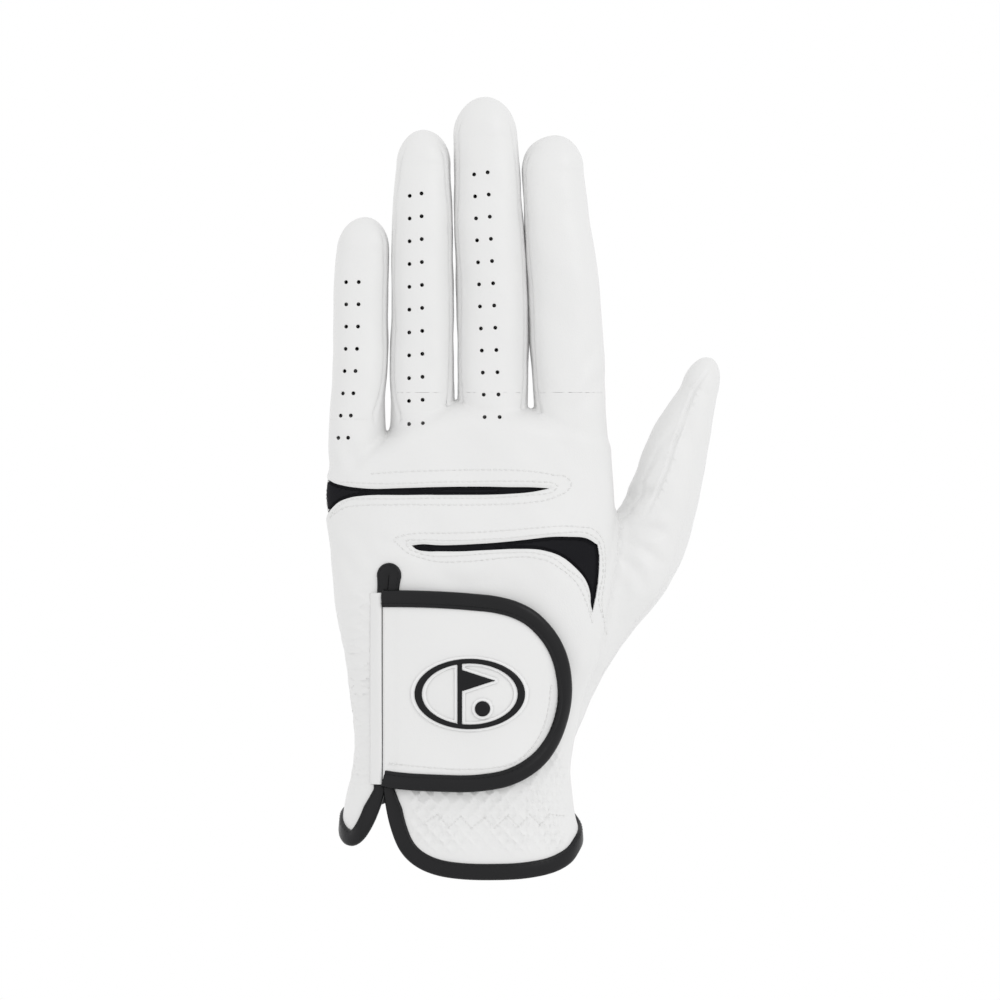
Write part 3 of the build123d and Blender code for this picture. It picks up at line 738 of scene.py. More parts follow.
black_thread = finish_of(
    "black_thread", (0.012, 0.012, 0.013), 0.45, [("weave", 4200.0, 0.6, 0.05)], tint=0.1, shine=0.15,
)
elastic_cloth = finish_of(
    "elastic_cloth", (0.74, 0.74, 0.73), 0.8, [("weave", 1500.0, 0.6, 0.15)], tint=0.03, sheen=0.2,
)
hook_plastic = finish_of("hook_plastic", (0.7, 0.7, 0.69), 0.5, [("cells", 1600.0, 0.9, 0.3)], tint=0.02)
loop_cloth = finish_of(
    "loop_cloth", (0.75, 0.75, 0.74), 0.95,
    [("noise", 2600.0, 1.0, 0.4), ("cells", 1400.0, 0.5, 0.2)],
    tint=0.05, sheen=0.5,
)
badge_black = finish_of(
    "badge_black_rubber", (0.006, 0.006, 0.007), 0.3, [("noise", 700.0, 0.15, 0.05)], tint=0.1, shine=0.2,
)
badge_white = finish_of(
    "badge_white_rubber", (0.78, 0.78, 0.78), 0.4, [("noise", 700.0, 0.15, 0.05)], tint=0.01,
)
label_cloth = finish_of("label_cloth", (0.7, 0.7, 0.7), 0.8, [("weave", 2200.0, 0.5, 0.06)], tint=0.02)


# ---- Stitches: Geometry Nodes lay one thread bead at every pitch of a line ---------------------
def stitch_tree():
    """The node tree that turns a line into a row of beads, with their pitch and sizes as inputs."""
    tree = bpy.data.node_groups.new("stitch_row", "GeometryNodeTree")
    face = tree.interface
    face.new_socket("Geometry", in_out="INPUT", socket_type="NodeSocketGeometry")
    sizes = [(name, "Float") for name in ("Pitch", "Length", "Thickness")]
    for name, kind in (*sizes, ("Thread", "Material")):
        face.new_socket(name, in_out="INPUT", socket_type=f"NodeSocket{kind}")
    face.new_socket("Geometry", in_out="OUTPUT", socket_type="NodeSocketGeometry")
    nodes, links = tree.nodes, tree.links
    given, done = nodes.new("NodeGroupInput"), nodes.new("NodeGroupOutput")
    curve = nodes.new("GeometryNodeMeshToCurve")
    points = nodes.new("GeometryNodeCurveToPoints")
    points.mode = "LENGTH"
    bead = nodes.new("GeometryNodeMeshUVSphere")
    bead.inputs["Segments"].default_value, bead.inputs["Rings"].default_value = 8, 5
    bead.inputs["Radius"].default_value = 0.5
    size = nodes.new("ShaderNodeCombineXYZ")
    shape = nodes.new("GeometryNodeTransform")
    turn = nodes.new("FunctionNodeAlignRotationToVector")
    turn.axis = "X"
    lay = nodes.new("GeometryNodeInstanceOnPoints")
    real, coat = nodes.new("GeometryNodeRealizeInstances"), nodes.new("GeometryNodeSetMaterial")
    for a, b in (
        (given.outputs["Geometry"], curve.inputs["Mesh"]),
        (curve.outputs["Curve"], points.inputs["Curve"]),
        (given.outputs["Pitch"], points.inputs["Length"]),
        (given.outputs["Length"], size.inputs["X"]),
        (given.outputs["Thickness"], size.inputs["Y"]),
        (given.outputs["Thickness"], size.inputs["Z"]),
        (bead.outputs["Mesh"], shape.inputs["Geometry"]),
        (size.outputs["Vector"], shape.inputs["Scale"]),
        (points.outputs["Points"], lay.inputs["Points"]),
        (points.outputs["Tangent"], turn.inputs["Vector"]),
        (shape.outputs["Geometry"], lay.inputs["Instance"]),
        (turn.outputs["Rotation"], lay.inputs["Rotation"]),
        (lay.outputs["Instances"], real.inputs["Geometry"]),
        (real.outputs["Geometry"], coat.inputs["Geometry"]),
        (given.outputs["Thread"], coat.inputs["Material"]),
        (coat.outputs["Geometry"], done.inputs["Geometry"]),
    ):
        links.new(a, b)
    return tree


STITCHES = stitch_tree()


def stitched(
    name, lines, body, thread=white_thread, pitch=1.8, length=1.35, thickness=0.3,
):
    """Rows of stitches along lines of points, as one plain mesh."""
    verts, edges = [], []
    for line in lines:
        start = len(verts)
        verts += [tuple(p) for p in np.asarray(line) * MM]
        edges += [(k, k + 1) for k in range(start, len(verts) - 1)]
    mesh = bpy.data.meshes.new(name)
    mesh.from_pydata(verts, edges, [])
    row = bpy.data.objects.new(name + "_line", mesh)
    bpy.context.scene.collection.objects.link(row)
    layer = row.modifiers.new("stitch_row", "NODES")
    layer.node_group = STITCHES
    named = {s.name: s.identifier for s in STITCHES.interface.items_tree if s.in_out == "INPUT"}
    layer[named["Pitch"]] = pitch * MM
    layer[named["Length"]] = length * MM
    layer[named["Thickness"]] = thickness * MM
    layer[named["Thread"]] = thread
    seen = row.evaluated_get(bpy.context.evaluated_depsgraph_get())
    plain = bpy.data.meshes.new_from_object(seen)
    plain.name = name
    bpy.data.objects.remove(row)
    plain.shade_smooth()
    made = bpy.data.objects.new(name, plain)
    bpy.context.scene.collection.objects.link(made)
    return bound(made, body)


def swept(path, normals, profile, closed=False):
    """A tube along path whose section is profile, as (across, out) points. Returns vertices and quads."""
    path, normals = np.asarray(path), np.asarray(normals)
    way = np.roll(path, -1, 0) - np.roll(path, 1, 0) if closed else np.gradient(path, axis=0)
    way /= np.linalg.norm(way, axis=1, keepdims=True)
    out = normals - way * (normals * way).sum(axis=1, keepdims=True)
    out /= np.linalg.norm(out, axis=1, keepdims=True)
    across = np.cross(way, out)
    section = np.asarray(profile, float)
    if section.ndim == 2:
        section = np.broadcast_to(section, (len(path), *section.shape))
    verts = path[:, None] + across[:, None] * section[:, :, :1] + out[:, None] * section[:, :, 1:]
    n, m = len(path), section.shape[1]
    rows = n if closed else n - 1
    i, j = np.meshgrid(np.arange(rows), np.arange(m), indexing="ij")
    i2, j2 = (i + 1) % n, (j + 1) % m
    quads = np.stack([i * m + j, i2 * m + j, i2 * m + j2, i * m + j2], axis=-1).reshape(-1, 4)
    verts = verts.reshape(-1, 3)
    faces = np.concatenate([quads[:, [0, 1, 2]], quads[:, [0, 2, 3]]])
    if not closed:
        ends = len(verts)
        verts = np.concatenate([verts, path[:1], path[-1:]])
        j, j2 = np.arange(m), (np.arange(m) + 1) % m
        faces = np.concatenate([
            faces,
            np.stack([np.full(m, ends), j, j2], 1),
            np.stack([np.full(m, ends + 1), (n - 1) * m + j2, (n - 1) * m + j], 1),
        ])
    return verts, faces


def outwards(verts, faces):
    """The faces turned so that a closed mesh's volume is positive."""
    a, b, c = verts[faces[:, 0]], verts[faces[:, 1]], verts[faces[:, 2]]
    return faces if (np.cross(a, b) * c).sum() > 0 else faces[:, ::-1]


# ---- The glove's nets, cut along its seams: the hand with the thumb, then each finger ----------
# where the hand ends and a finger starts, where its second piece starts, its middle, and its sides
CUTS = {"little": 137.0, "ring": 145.0, "middle": 145.0, "index": 145.0}
JOINTS = {"little": 158.9, "ring": 173.3, "middle": 177.1, "index": 172.7}
MIDDLES = {"little": -30.9, "ring": -11.0, "middle": 10.0, "index": 32.7}
BORDERS = {"little": (-60, -21.5), "ring": (-21.5, -1.5), "middle": (-1.5, 21.3), "index": (21.3, 50)}
# the thumb's two hinges, as (x, y, height), and how far along the thumb each of them is
THUMB_KNUCKLE, THUMB_MIDDLE = (59.5, 10.5, 107.0), (66.8, 10.7, 131.5)
THUMB_WAY = np.array([math.sin(THUMB_LEAN), 0, math.cos(THUMB_LEAN)])
THUMB_CUT, THUMB_JOINT = (
    z * math.cos(THUMB_LEAN) + x * math.sin(THUMB_LEAN) for x, y, z in (THUMB_KNUCKLE, THUMB_MIDDLE)
)
TOP = 999  # a height above everything

# punched holes: the first pair, the last pair, how many pairs, and how far the columns bow
HOLE = 0.6  # radius
HOLES = []
for first, last, count, bow in (
    (((-34.2, 178.05), (-30.3, 178.05)), ((-36.5, 131.4), (-33.5, 131.4)), 8, 0.9),
    (((-15.1, 203.9), (-11.5, 204.6)), ((-15.3, 135.6), (-11.1, 135.9)), 11, 0.0),
    (((4.2, 210.3), (8.3, 210.9)), ((7.4, 137.7), (11.9, 137.7)), 12, 0.0),
):
    for (ax, az), (bx, bz) in zip(first, last):
        for k in range(count):
            t = k / (count - 1)
            HOLES.append((ax + (bx - ax) * t + bow * math.sin(math.pi * t), az + (bz - az) * t))
HOLES = np.array(HOLES)


def holes_at(p):
    """Distance to the rim of the nearest punched hole on the back."""
    best = np.full(len(p), 9.0)
    near = (p[:, 1] < 3) & (p[:, 2] > 128) & (p[:, 0] < 16)
    q = p[near][:, [0, 2]]
    d = np.full(len(q), 9.0)
    for hole in HOLES:
        d = np.minimum(d, np.hypot(*(q - hole).T) - HOLE)
    best[near] = d
    return best


def wrist(p):
    """Negative where there is leather: above the hem, and outside the slit."""
    low = p[:, 2] < 100
    if not low.all():
        made = np.full(len(p), -9.0)
        made[low] = wrist(p[low])
        return made
    back = outline_distance(p[:, 0], p[:, 2], back_area)
    palm = outline_distance(p[:, 0], p[:, 2], palm_area)
    share = np.clip((p[:, 1] + 4) / 10, 0, 1)
    share = share * share * (3 - 2 * share)
    hem = back * (1 - share) + palm * share
    slit = np.where(p[:, 1] < 0, 0.35 - to_line(p[:, 0], p[:, 2], SLIT)[0], -9)
    return np.maximum(hem, slit)


def window(p):
    """Distance to the nearest stretch window's edge, negative inside the window."""
    near = (p[:, 1] < 4) & (p[:, 2] > 72) & (p[:, 2] < 130)
    if not near.all():
        made = np.full((3, len(p)), 9.0)
        made[:, near] = window(p[near])
        return made
    upper = outline_distance(p[:, 0], p[:, 2], upper_window)
    lower = outline_distance(p[:, 0], p[:, 2], lower_window)
    front = np.where(p[:, 1] < 4, 0, 9)
    return np.minimum(upper, lower) + front, upper + front, lower + front


def thumb_seam(p):
    """Zero on the seam round the thumb's base, negative on the thumb's side."""
    x, y, z = p.T
    thumb = digit_distance("thumb", x, y, z)
    return thumb - np.minimum(hand_distance(x, y, z), digit_distance("index", x, y, z))


def lean_height(p):
    """How far along the thumb each point is."""
    return p @ THUMB_WAY


def side_seam(p):
    """Zero on the seams between back and palm, negative on the back."""
    return p[:, 1] - 2.0


HINGE_X = -23.2
rim_line = smoothed(TAB_RIM, 0.7)
rim_line[:, 0] = np.maximum(rim_line[:, 0], HINGE_X + 0.15)
tab_outline = np.concatenate([[(-45, 85.3)], rim_line, [(-45, 27.8)]])


def in_tab(p):
    """Distance of points (x, height) to the tab's edge, negative inside it."""
    return np.maximum(outline_distance(p[:, 0], p[:, 1], tab_outline), HINGE_X + 0.1 - p[:, 0] - 0.8)


def loop_field(p):
    """Negative on the loop pad under the tab."""
    made = np.full(len(p), 9.0)
    near = (p[:, 1] < 0) & (p[:, 2] > 20) & (p[:, 2] < 92)
    made[near] = np.maximum(in_tab(p[near][:, [0, 2]]) + 6.5, -14 - p[near, 0])
    return made


PLAIN, NEAR_TAB, RIM, SEAM, PUNCHED = 1.7, 1.0, 0.55, 0.5, 0.42  # lengths of the net's edges


def wanted_size(p):
    """How long an edge of the net may be at each point: short beside seams, rims and holes."""
    size = np.full(len(p), PLAIN)
    hole = holes_at(p)
    size = np.where(np.abs(hole) < 1.0, PUNCHED, size)
    near = (p[:, 2] > 60) & (p[:, 2] < 130)
    edge = np.full(len(p), 9.0)
    edge[near] = np.abs(window(p[near])[0])
    size = np.where(edge < 1.6, SEAM, size)
    low = p[:, 2] < 98
    rim = np.full(len(p), 9.0)
    rim[low] = np.abs(wrist(p[low]))
    size = np.where(rim < 1.0, RIM, size)
    wrist_back = (p[:, 2] < 90) & (p[:, 1] < 4) & (p[:, 0] < 38)
    size = np.where(wrist_back, np.minimum(size, NEAR_TAB), size)
    tip = (p[:, 0] > 52) & (p[:, 1] < 12) & (p[:, 2] > 104)
    size[tip] = np.where(to_line(p[tip, 0], p[tip, 2], THUMB_LINE)[0] < 1.3, SEAM, size[tip])
    for name in FINGERS:
        left, right = BORDERS[name]
        mine = (p[:, 0] > left) & (p[:, 0] < right) & (p[:, 2] > DIGITS[name][2][0] - 6)
        x, y, z = p[mine].T
        across, depth = finger_frame(name, x, y, z)
        d = np.abs(np.abs(depth) - strip_edge(name, z))
        close = d < 1.1
        for_side = np.zeros(len(x), bool)
        for side in STRIPS[name]:
            for_side |= across * side > 0
        size[mine] = np.where(close & for_side, SEAM, size[mine])
    return size


def finger_plane(name, height):
    """A field that is zero where this finger reaches a height."""
    left, right = BORDERS[name]

    def field(p):
        return np.where((p[:, 0] > left) & (p[:, 0] < right) & (p[:, 2] > 120), p[:, 2] - height, -9.0)

    return field


def strip_field(name):
    """A field that is negative on the finger's side strips."""
    left, right = BORDERS[name]

    def field(p):
        mine = (p[:, 0] > left - 1) & (p[:, 0] < right + 1) & (p[:, 2] > CUTS[name] - 6)
        x, y, z = p.T
        across, depth = finger_frame(name, x, y, z)
        side = np.where(across > 0, 1, -1)
        here = mine & np.isin(side, STRIPS[name]) & (np.abs(across) > 2)
        return np.where(here, np.abs(depth) - strip_edge(name, z), 9.0)

    return field


def dressed(parts, low, high, cell, fields, wanted):
    """One net, made finer, cut along the zero line of each field. The wanted part of it is kept."""
    v, f = net(parts, low, high, cell)
    v, f = refine(v, f, wanted_size, 3)
    v = settle(v, parts, rounds=2)
    for field in fields:
        v, f, _ = cut_line(v, f, field(v), 0.12)
    v, f = only(v, f, wanted(v[f].mean(axis=1)))
    return v, f, slope_of(v, parts)


def below_fingers(p):
    """True on the hand and the thumb, up to where the fingers' own nets start."""
    over = np.zeros(len(p), bool)
    for name, (left, right) in BORDERS.items():
        over |= (p[:, 0] > left) & (p[:, 0] < right) & (p[:, 2] > CUTS[name])
    return ~over | (thumb_seam(p) < 0)


def thumb_plane(distance):
    """A field that is zero on the thumb, this far along it."""
    return lambda p: np.where(thumb_seam(p) < 0.5, lean_height(p) - distance, -9.0)


nets = [dressed(
    WHOLE, (-46, -23, -5), (82, 28, 160), 1.15,
    [
        wrist, lambda p: window(p)[0], holes_at, loop_field,
        *[finger_plane(n, CUTS[n]) for n in FINGERS],
        *[strip_field(n) for n in FINGERS],
        thumb_seam, thumb_plane(THUMB_CUT), thumb_plane(THUMB_JOINT), side_seam,
    ],
    below_fingers,
)]
for name in FINGERS:
    left, right = BORDERS[name]
    top = DIGITS[name][-1][0] + TIP[name] + 3
    planes = [lambda p, at=at: p[:, 2] - at for at in (CUTS[name], JOINTS[name])]
    nets.append(dressed(
        ("hand", name), (left - 3, -14, CUTS[name] - 4), (right + 3, 17, top), 1.05,
        [holes_at, *planes, strip_field(name)], lambda p, at=CUTS[name]: p[:, 2] > at,
    ))
starts = np.cumsum([0] + [len(v) for v, _, _ in nets])
verts = np.concatenate([v for v, _, _ in nets])
normals = np.concatenate([n for _, _, n in nets])
faces = np.concatenate([f + start for (_, f, _), start in zip(nets, starts)])
owner = np.concatenate([np.full(len(f), k) for k, (_, f, _) in enumerate(nets)])


def drawn_in(p, shape):
    """Edges that are turned under round windows, holes and seams."""
    edge = window(p)[0]
    folded = 0.55 * (1 - np.clip(edge / 1.3, 0, 1)) ** 2
    shape = np.where((edge > -1) & (edge < 1.3), shape - folded, shape)
    hole = holes_at(p)
    shape = np.where(hole < 0.8, shape - 0.16 * (1 - np.clip(hole / 0.8, 0, 1)) ** 2, shape)
    seam = np.abs(thumb_seam(p))
    below = lean_height(p) < THUMB_CUT + 4
    groove, swell = 0.5 * np.exp(-((seam / 0.7) ** 2)), 0.15 * np.exp(-(((seam - 2.2) / 1.2) ** 2))
    shape = np.where(below, shape - groove + swell, shape)
    seam = np.abs(side_seam(p))
    fade = np.where(p[:, 0] > 50, 1.0, np.clip((142 - p[:, 2]) / 10, 0, 1))
    return shape - 0.35 * fade * np.exp(-((seam / 0.6) ** 2))


moved = drawn_in(verts, np.zeros(len(verts)))
verts_in = verts + normals * moved[:, None]


def mesh_normals(v, f):
    """The normal at each vertex, from the triangles round it."""
    n = np.cross(v[f[:, 1]] - v[f[:, 0]], v[f[:, 2]] - v[f[:, 0]])
    out = np.zeros_like(v)
    for k in range(3):
        np.add.at(out, f[:, k], n)
    return out / np.maximum(np.linalg.norm(out, axis=1, keepdims=True), 1e-12)


shown = mesh_normals(verts_in, faces)
turned_under = np.abs(moved) > 0.02
shown = np.where(turned_under[:, None], shown, normals)
centre = verts[faces].mean(axis=1)
is_hole = holes_at(centre) < 0
is_leather = wrist(centre) < 0
gap_any, gap_upper, gap_lower = window(centre)
in_thumb = (thumb_seam(centre) < 0) & (owner == 0)
height = lean_height(centre)
thumb_part = in_thumb & (height > THUMB_CUT)
is_front = centre[:, 1] < 2.0


def sheet_piece(
    name, wanted, material, body, replaces, lift=0.0, thick=LEATHER, blend=None,
):
    """One panel of the glove's skin, given its thickness."""
    f = faces[wanted]
    used = np.unique(f)
    place = np.zeros(len(verts), int)
    place[used] = np.arange(len(used))
    v = verts_in[used] + normals[used] * lift
    v, f, n = walled(v, place[f], shown[used], thick)
    return put(name, v, f, material, body, replaces, n, blend)


def m(x, y, z):
    return (x * MM, y * MM, z * MM)


above = owner > 0
hand_faces = is_leather & ~is_hole & (gap_any > 0) & ~thumb_part & ~above
between = np.zeros(len(centre), bool)
for name in FINGERS:
    left, right = BORDERS[name]
    between |= (strip_field(name)(centre) < 0) & (centre[:, 0] > left) & (centre[:, 0] < right)
for name, toward in (("little", "ring"), ("ring", "middle"), ("middle", "index")):
    web = f"{name}_{toward}_web"
    part = hand_faces & between & (np.abs(centre[:, 0] - BORDERS[name][1]) < 7) & (centre[:, 2] > 128)
    sheet_piece(web + "_skin", part, white_leather, "hand", (web,))
    hand_faces &= ~part
sheet_piece("back_panel", hand_faces & is_front & ~in_thumb, white_leather, "hand", ("back_leather",))
sheet_piece("palm_panel", hand_faces & ~is_front & ~in_thumb, white_leather, "hand", ("palm_leather",))
sheet_piece("thumb_base_panel", hand_faces & in_thumb, white_leather, "hand", ("thumb_base",))
whole = is_leather & ~above & ~thumb_part & is_front
for name, gap in (("upper", gap_upper), ("lower", gap_lower)):
    sheet_piece(
        name + "_insert_cloth", whole & (gap < 3.2), black_cloth, "hand", (name + "_stretch_insert",),
        lift=-1.0, thick=0.5,
    )

NEIGHBOURS = {
    "little": {1: "ring"},
    "ring": {-1: "little", 1: "middle"},
    "middle": {-1: "ring", 1: "index"},
    "index": {-1: "middle"},
}
for name in FINGERS:
    mine = ~is_hole & (owner == FINGERS.index(name) + 1)
    value = strip_field(name)(centre)
    across, depth = finger_frame(name, *centre.T)
    for segment, low, high in (("proximal", CUTS[name], JOINTS[name]), ("distal", JOINTS[name], TOP)):
        part = mine & (centre[:, 2] > low) & (centre[:, 2] < high)
        x = MIDDLES[name]
        if segment == "proximal":
            bend = ("hand", f"{name}_proximal", m(x, 10, low), m(x, 10, low + min(17, high - low - 1)))
        else:
            bend = (f"{name}_proximal", f"{name}_distal", m(x, 10, low), m(x, 10, low + 15))
        for side, toward in NEIGHBOURS[name].items():
            strip = part & (value < 0) & (across * side > 0)
            node = f"{name}_{segment}_{toward}_fourchette"
            sheet_piece(node + "_skin", strip, white_leather, None, (node,), blend=bend)
        cover = part & (value >= 0)
        if len(NEIGHBOURS[name]) == 1:
            node = f"{name}_{segment}_wrap"
            sheet_piece(node + "_skin", cover, white_leather, None, (node,), blend=bend)
        else:
            for side, which in (("back", depth < 0), ("palm", depth >= 0)):
                node = f"{name}_{segment}_{side}"
                sheet_piece(node + "_skin", cover & which, white_leather, None, (node,), blend=bend)
for segment, before, hinge, low, high in (
    ("proximal", "hand", THUMB_KNUCKLE, THUMB_CUT, THUMB_JOINT),
    ("distal", "thumb_proximal", THUMB_MIDDLE, THUMB_JOINT, TOP),
):
    part = in_thumb & (height > low) & (height < high)
    start = np.array(hinge)
    bend = (before, f"thumb_{segment}", tuple(start * MM), tuple((start + THUMB_WAY * 17) * MM))
    for side, which in (("back", is_front), ("palm", ~is_front)):
        node = f"thumb_{segment}_{side}"
        sheet_piece(node + "_skin", part & which, white_leather, None, (node,), blend=bend)


# ---- Black binding round the wrist and up the slit ---------------------------------------------
def chained(pairs):
    """The longest closed loop in directed edges, as vertex numbers."""
    after = {}
    for a, b in pairs:
        after.setdefault(int(a), []).append(int(b))
    loops = []
    while after:
        start = next(iter(after))
        loop, at = [start], after[start].pop()
        if not after[start]:
            del after[start]
        while at != start and at in after:
            loop.append(at)
            following = after[at].pop()
            if not after[at]:
                del after[at]
            at = following
        loops.append(loop)
    return max(loops, key=len)


def eased(ring):
    """A closed line with each point moved towards the middle of its neighbours."""
    return (np.roll(ring, 1, 0) + 2 * ring + np.roll(ring, -1, 0)) / 4


def evened(ring, gap, rounds=4):
    """A closed line made smooth and evenly spaced. gap(point) is the spacing wanted there."""
    for _ in range(rounds):
        ring = eased(ring)
    ring = np.concatenate([ring, ring[:1]])
    step = np.linalg.norm(np.diff(ring, axis=0), axis=1)
    weight = np.concatenate([[0], np.cumsum(step / gap(ring[:-1]))])
    t = np.linspace(0, weight[-1], int(weight[-1]), endpoint=False)
    return np.stack([np.interp(t, weight, ring[:, k]) for k in range(3)], axis=1)


keep = is_leather & (centre[:, 2] < 110)
rim = border(faces[keep], len(verts))
rim = rim[(verts[rim[:, 0], 2] < 100) & (verts[rim[:, 1], 2] < 100)]
hem = evened(verts[chained(rim)], lambda p: np.where((p[:, 2] > 84) & (p[:, 1] < 0), 0.3, 0.9))
low_part = (hem[:, 2] < 22)[:, None]
for _ in range(14):
    hem = np.where(low_part, eased(hem), hem)
hem = settle(hem, WHOLE, rounds=2)

# the slit's upper end becomes a half circle
at_head = (hem[:, 2] > 89.6) & (hem[:, 1] < 0) & (np.abs(hem[:, 0] + 21) < 2)
hem = np.roll(hem, -int(np.argmax(at_head & ~np.roll(at_head, 1))), axis=0)
count = int(at_head.sum())
turn = np.linspace(math.pi, 0, 17) if hem[0, 0] < hem[count - 1, 0] else np.linspace(0, math.pi, 17)
arc = np.stack([SLIT[-1][0] + 0.4 * np.cos(turn), SLIT[-1][1] + 0.4 * np.sin(turn)], axis=1)
hem = np.concatenate([on_back(arc), hem[count:]])
hem_normals = slope_of(hem, WHOLE, 2.0)
for _ in range(12):
    hem_normals = eased(hem_normals)
hem_normals /= np.linalg.norm(hem_normals, axis=1, keepdims=True)
on_slit = np.clip((hem[:, 2] - 20) / 6, 0, 1) * (hem[:, 1] < 0) * (np.abs(hem[:, 0] + 22) < 3)
onto = np.cross(np.roll(hem, -1, 0) - np.roll(hem, 1, 0), hem_normals)
onto = onto / np.linalg.norm(onto, axis=1, keepdims=True)
flip = -1 if np.mean(wrist(hem + onto * 1.0) > wrist(hem)) > 0.5 else 1


def tape(width, rise, sink):
    """The rounded section of a tape folded over an edge: (across, out) points."""
    return np.array([
        (0.2, -sink), (-0.35, -sink * 0.75), (-0.62, -0.5), (-0.5, 0.25), (-0.1, rise * 0.8), (0.5, rise),
        (width * 0.45, rise * 1.08), (width - 0.6, rise), (width - 0.2, rise * 0.75), (width, rise * 0.2),
        (width, -0.3), (width, -sink),
    ])


HEM_TAPE, SLIT_TAPE = 4.3, 3.0
head = 0.35 * np.exp(-(((hem[:, 2] - 90.5) / 2.5) ** 2)) * (hem[:, 1] < 0)
width = HEM_TAPE * (1 - on_slit) + SLIT_TAPE * on_slit + head
sections = np.stack([tape(w, 0.75, 1.5) for w in width])
sections[:, :, 0] *= flip
v, f = swept(hem, hem_normals, sections, closed=True)
put(
    "wrist_binding", v, outwards(v, f), black_leather, "hand", ("back_hem_binding", "palm_hem_binding"),
)
row = hem + onto * flip * (width - 0.75)[:, None] + hem_normals * 0.72
stitched(
    "wrist_binding_stitches", [np.concatenate([row, row[:1]])], "hand", black_thread,
    pitch=1.7, length=1.2, thickness=0.3,
)


# ---- The tab -----------------------------------------------------------------------------------
BADGE = np.array([3.0, 55.0])  # the badge's middle, where the tab is fullest
TAB_MIDDLE = np.array([0.0, 55.0])
TAB_LIFT = 2.75
TAB_BOX = (-24, 24, 34, 87)


def tab_surface(points, lift):
    """Points (x, height) put on the tab's smooth outer side, lift away from it."""
    pts = np.asarray(points, float)
    high, low = np.full(len(pts), -40.0), np.full(len(pts), 0.0)
    for _ in range(26):
        mid = (high + low) / 2
        out = hand_distance(pts[:, 0], mid, pts[:, 1]) > 0
        high, low = np.where(out, mid, high), np.where(out, low, mid)
    y = (high + low) / 2
    wave = 0.16 * np.sin(pts[:, 0] * 0.21 + pts[:, 1] * 0.13)
    wave += 0.1 * np.sin(pts[:, 1] * 0.3 - pts[:, 0] * 0.17)
    puff = 0.5 * np.exp(-(((pts - BADGE) / (20, 20)) ** 2).sum(axis=1))
    return np.stack([pts[:, 0], y - wave - puff - lift, pts[:, 1]], axis=1)


def tab_normals(points):
    """The outward normals of the tab's smooth outer side."""
    a = tab_surface(points + (0.3, 0), 0) - tab_surface(points - (0.3, 0), 0)
    b = tab_surface(points + (0, 0.3), 0) - tab_surface(points - (0, 0.3), 0)
    n = np.cross(a, b)
    return n / np.linalg.norm(n, axis=1, keepdims=True) * np.sign(-n[:, 1:2])


def flat_sheet(inside, box, cell=1.0):
    """Triangles filling the region where inside(points) is negative, as (x, height) points."""
    x0, z0, x1, z1 = box
    xs, zs = np.arange(x0, x1 + cell, cell), np.arange(z0, z1 + cell, cell)
    grid = np.stack(np.meshgrid(xs, zs, indexing="ij"), axis=-1).reshape(-1, 2)
    nx, nz = len(xs), len(zs)
    i, j = np.meshgrid(np.arange(nx - 1), np.arange(nz - 1), indexing="ij")
    a = (i * nz + j).ravel()
    f = np.concatenate([np.stack([a, a + nz, a + nz + 1], 1), np.stack([a, a + nz + 1, a + 1], 1)])
    v = np.concatenate([grid, np.zeros((len(grid), 1))], axis=1)
    v, f, _ = cut_line(v, f, inside(v[:, :2]), 0.15)
    v, f = only(v, f, inside(v[f].mean(axis=1)[:, :2]) < 0)
    return v[:, :2], f


def facing(v, f, n):
    """The faces turned to the side that the normals point to."""
    corner = np.cross(v[f[:, 1]] - v[f[:, 0]], v[f[:, 2]] - v[f[:, 0]])
    return f if (corner * n[f[:, 0]]).sum() > 0 else f[:, ::-1]


def tab_layer(name, inside, lift, thick, material, replaces, cell, box=TAB_BOX, bend=None):
    """A sheet of the tab, lift outside its smooth side, raised further by bend."""
    p, f = flat_sheet(inside, box, cell)
    n = tab_normals(p)
    v = tab_surface(p, lift)
    if bend is not None:
        v = v + n * bend(p)[:, None]
    f = facing(v, f, n)
    v, f, n = walled(v, f, mesh_normals(v, f), thick)
    return put(name, v, f, material, "tab", replaces)


def rolled(p):
    """The face dips just inside the binding."""
    return -0.25 * np.exp(-((np.clip(-in_tab(p) - 4.4, 0, 9) / 0.8) ** 2))


tab_layer(
    "tab_face_leather", lambda p: in_tab(p) + 0.8, TAB_LIFT, 0.75, white_leather,
    ("tab_leather",), 0.9, bend=rolled,
)
tab_layer(
    "tab_suede_lining", lambda p: in_tab(p) + 1.0, TAB_LIFT - 0.8, 0.45, suede,
    ("tab_lining",), 1.2,
)
side = tab_surface(rim_line, TAB_LIFT - 0.55)
side_n = tab_normals(rim_line)
# the binding's section: a rolled edge, then a flat with a groove for its stitches
EDGE_SECTION = np.array([
    (-0.1, -0.95), (-0.55, -0.7), (-0.62, -0.1), (-0.45, 0.6), (0.1, 1.05), (0.9, 1.22), (2.2, 1.28),
    (3.1, 1.15), (3.35, 0.86), (3.65, 0.9), (4.15, 0.98), (4.45, 0.72), (4.5, 0.2), (4.4, -0.85),
])
halfway = len(side) // 2
onto_tab = np.cross(np.gradient(side, axis=0), side_n)[halfway]
turned = -1 if onto_tab @ (np.array([0, -17, 55]) - side[halfway]) < 0 else 1
v, f = swept(side, side_n, EDGE_SECTION * (turned, 1))
put("tab_edge_binding", v, outwards(v, f), black_leather, "tab", ("tab_binding",))
inner = smoothed([
    (-20.7, 34.2), (-11.4, 33.3), (0.9, 32.5), (10.1, 33), (16.2, 34.5), (21.6, 39), (24.6, 44.1),
    (26.7, 51.9), (27.2, 57),
])
stitched("tab_face_stitches", [tab_surface(inner, TAB_LIFT + 0.08)], "tab", pitch=1.7, thickness=0.3)
shares = np.linspace(0, 1, len(rim_line))
even_rim = np.stack([np.interp(np.linspace(0, 1, 260), shares, rim_line[:, k]) for k in (0, 1)], axis=1)


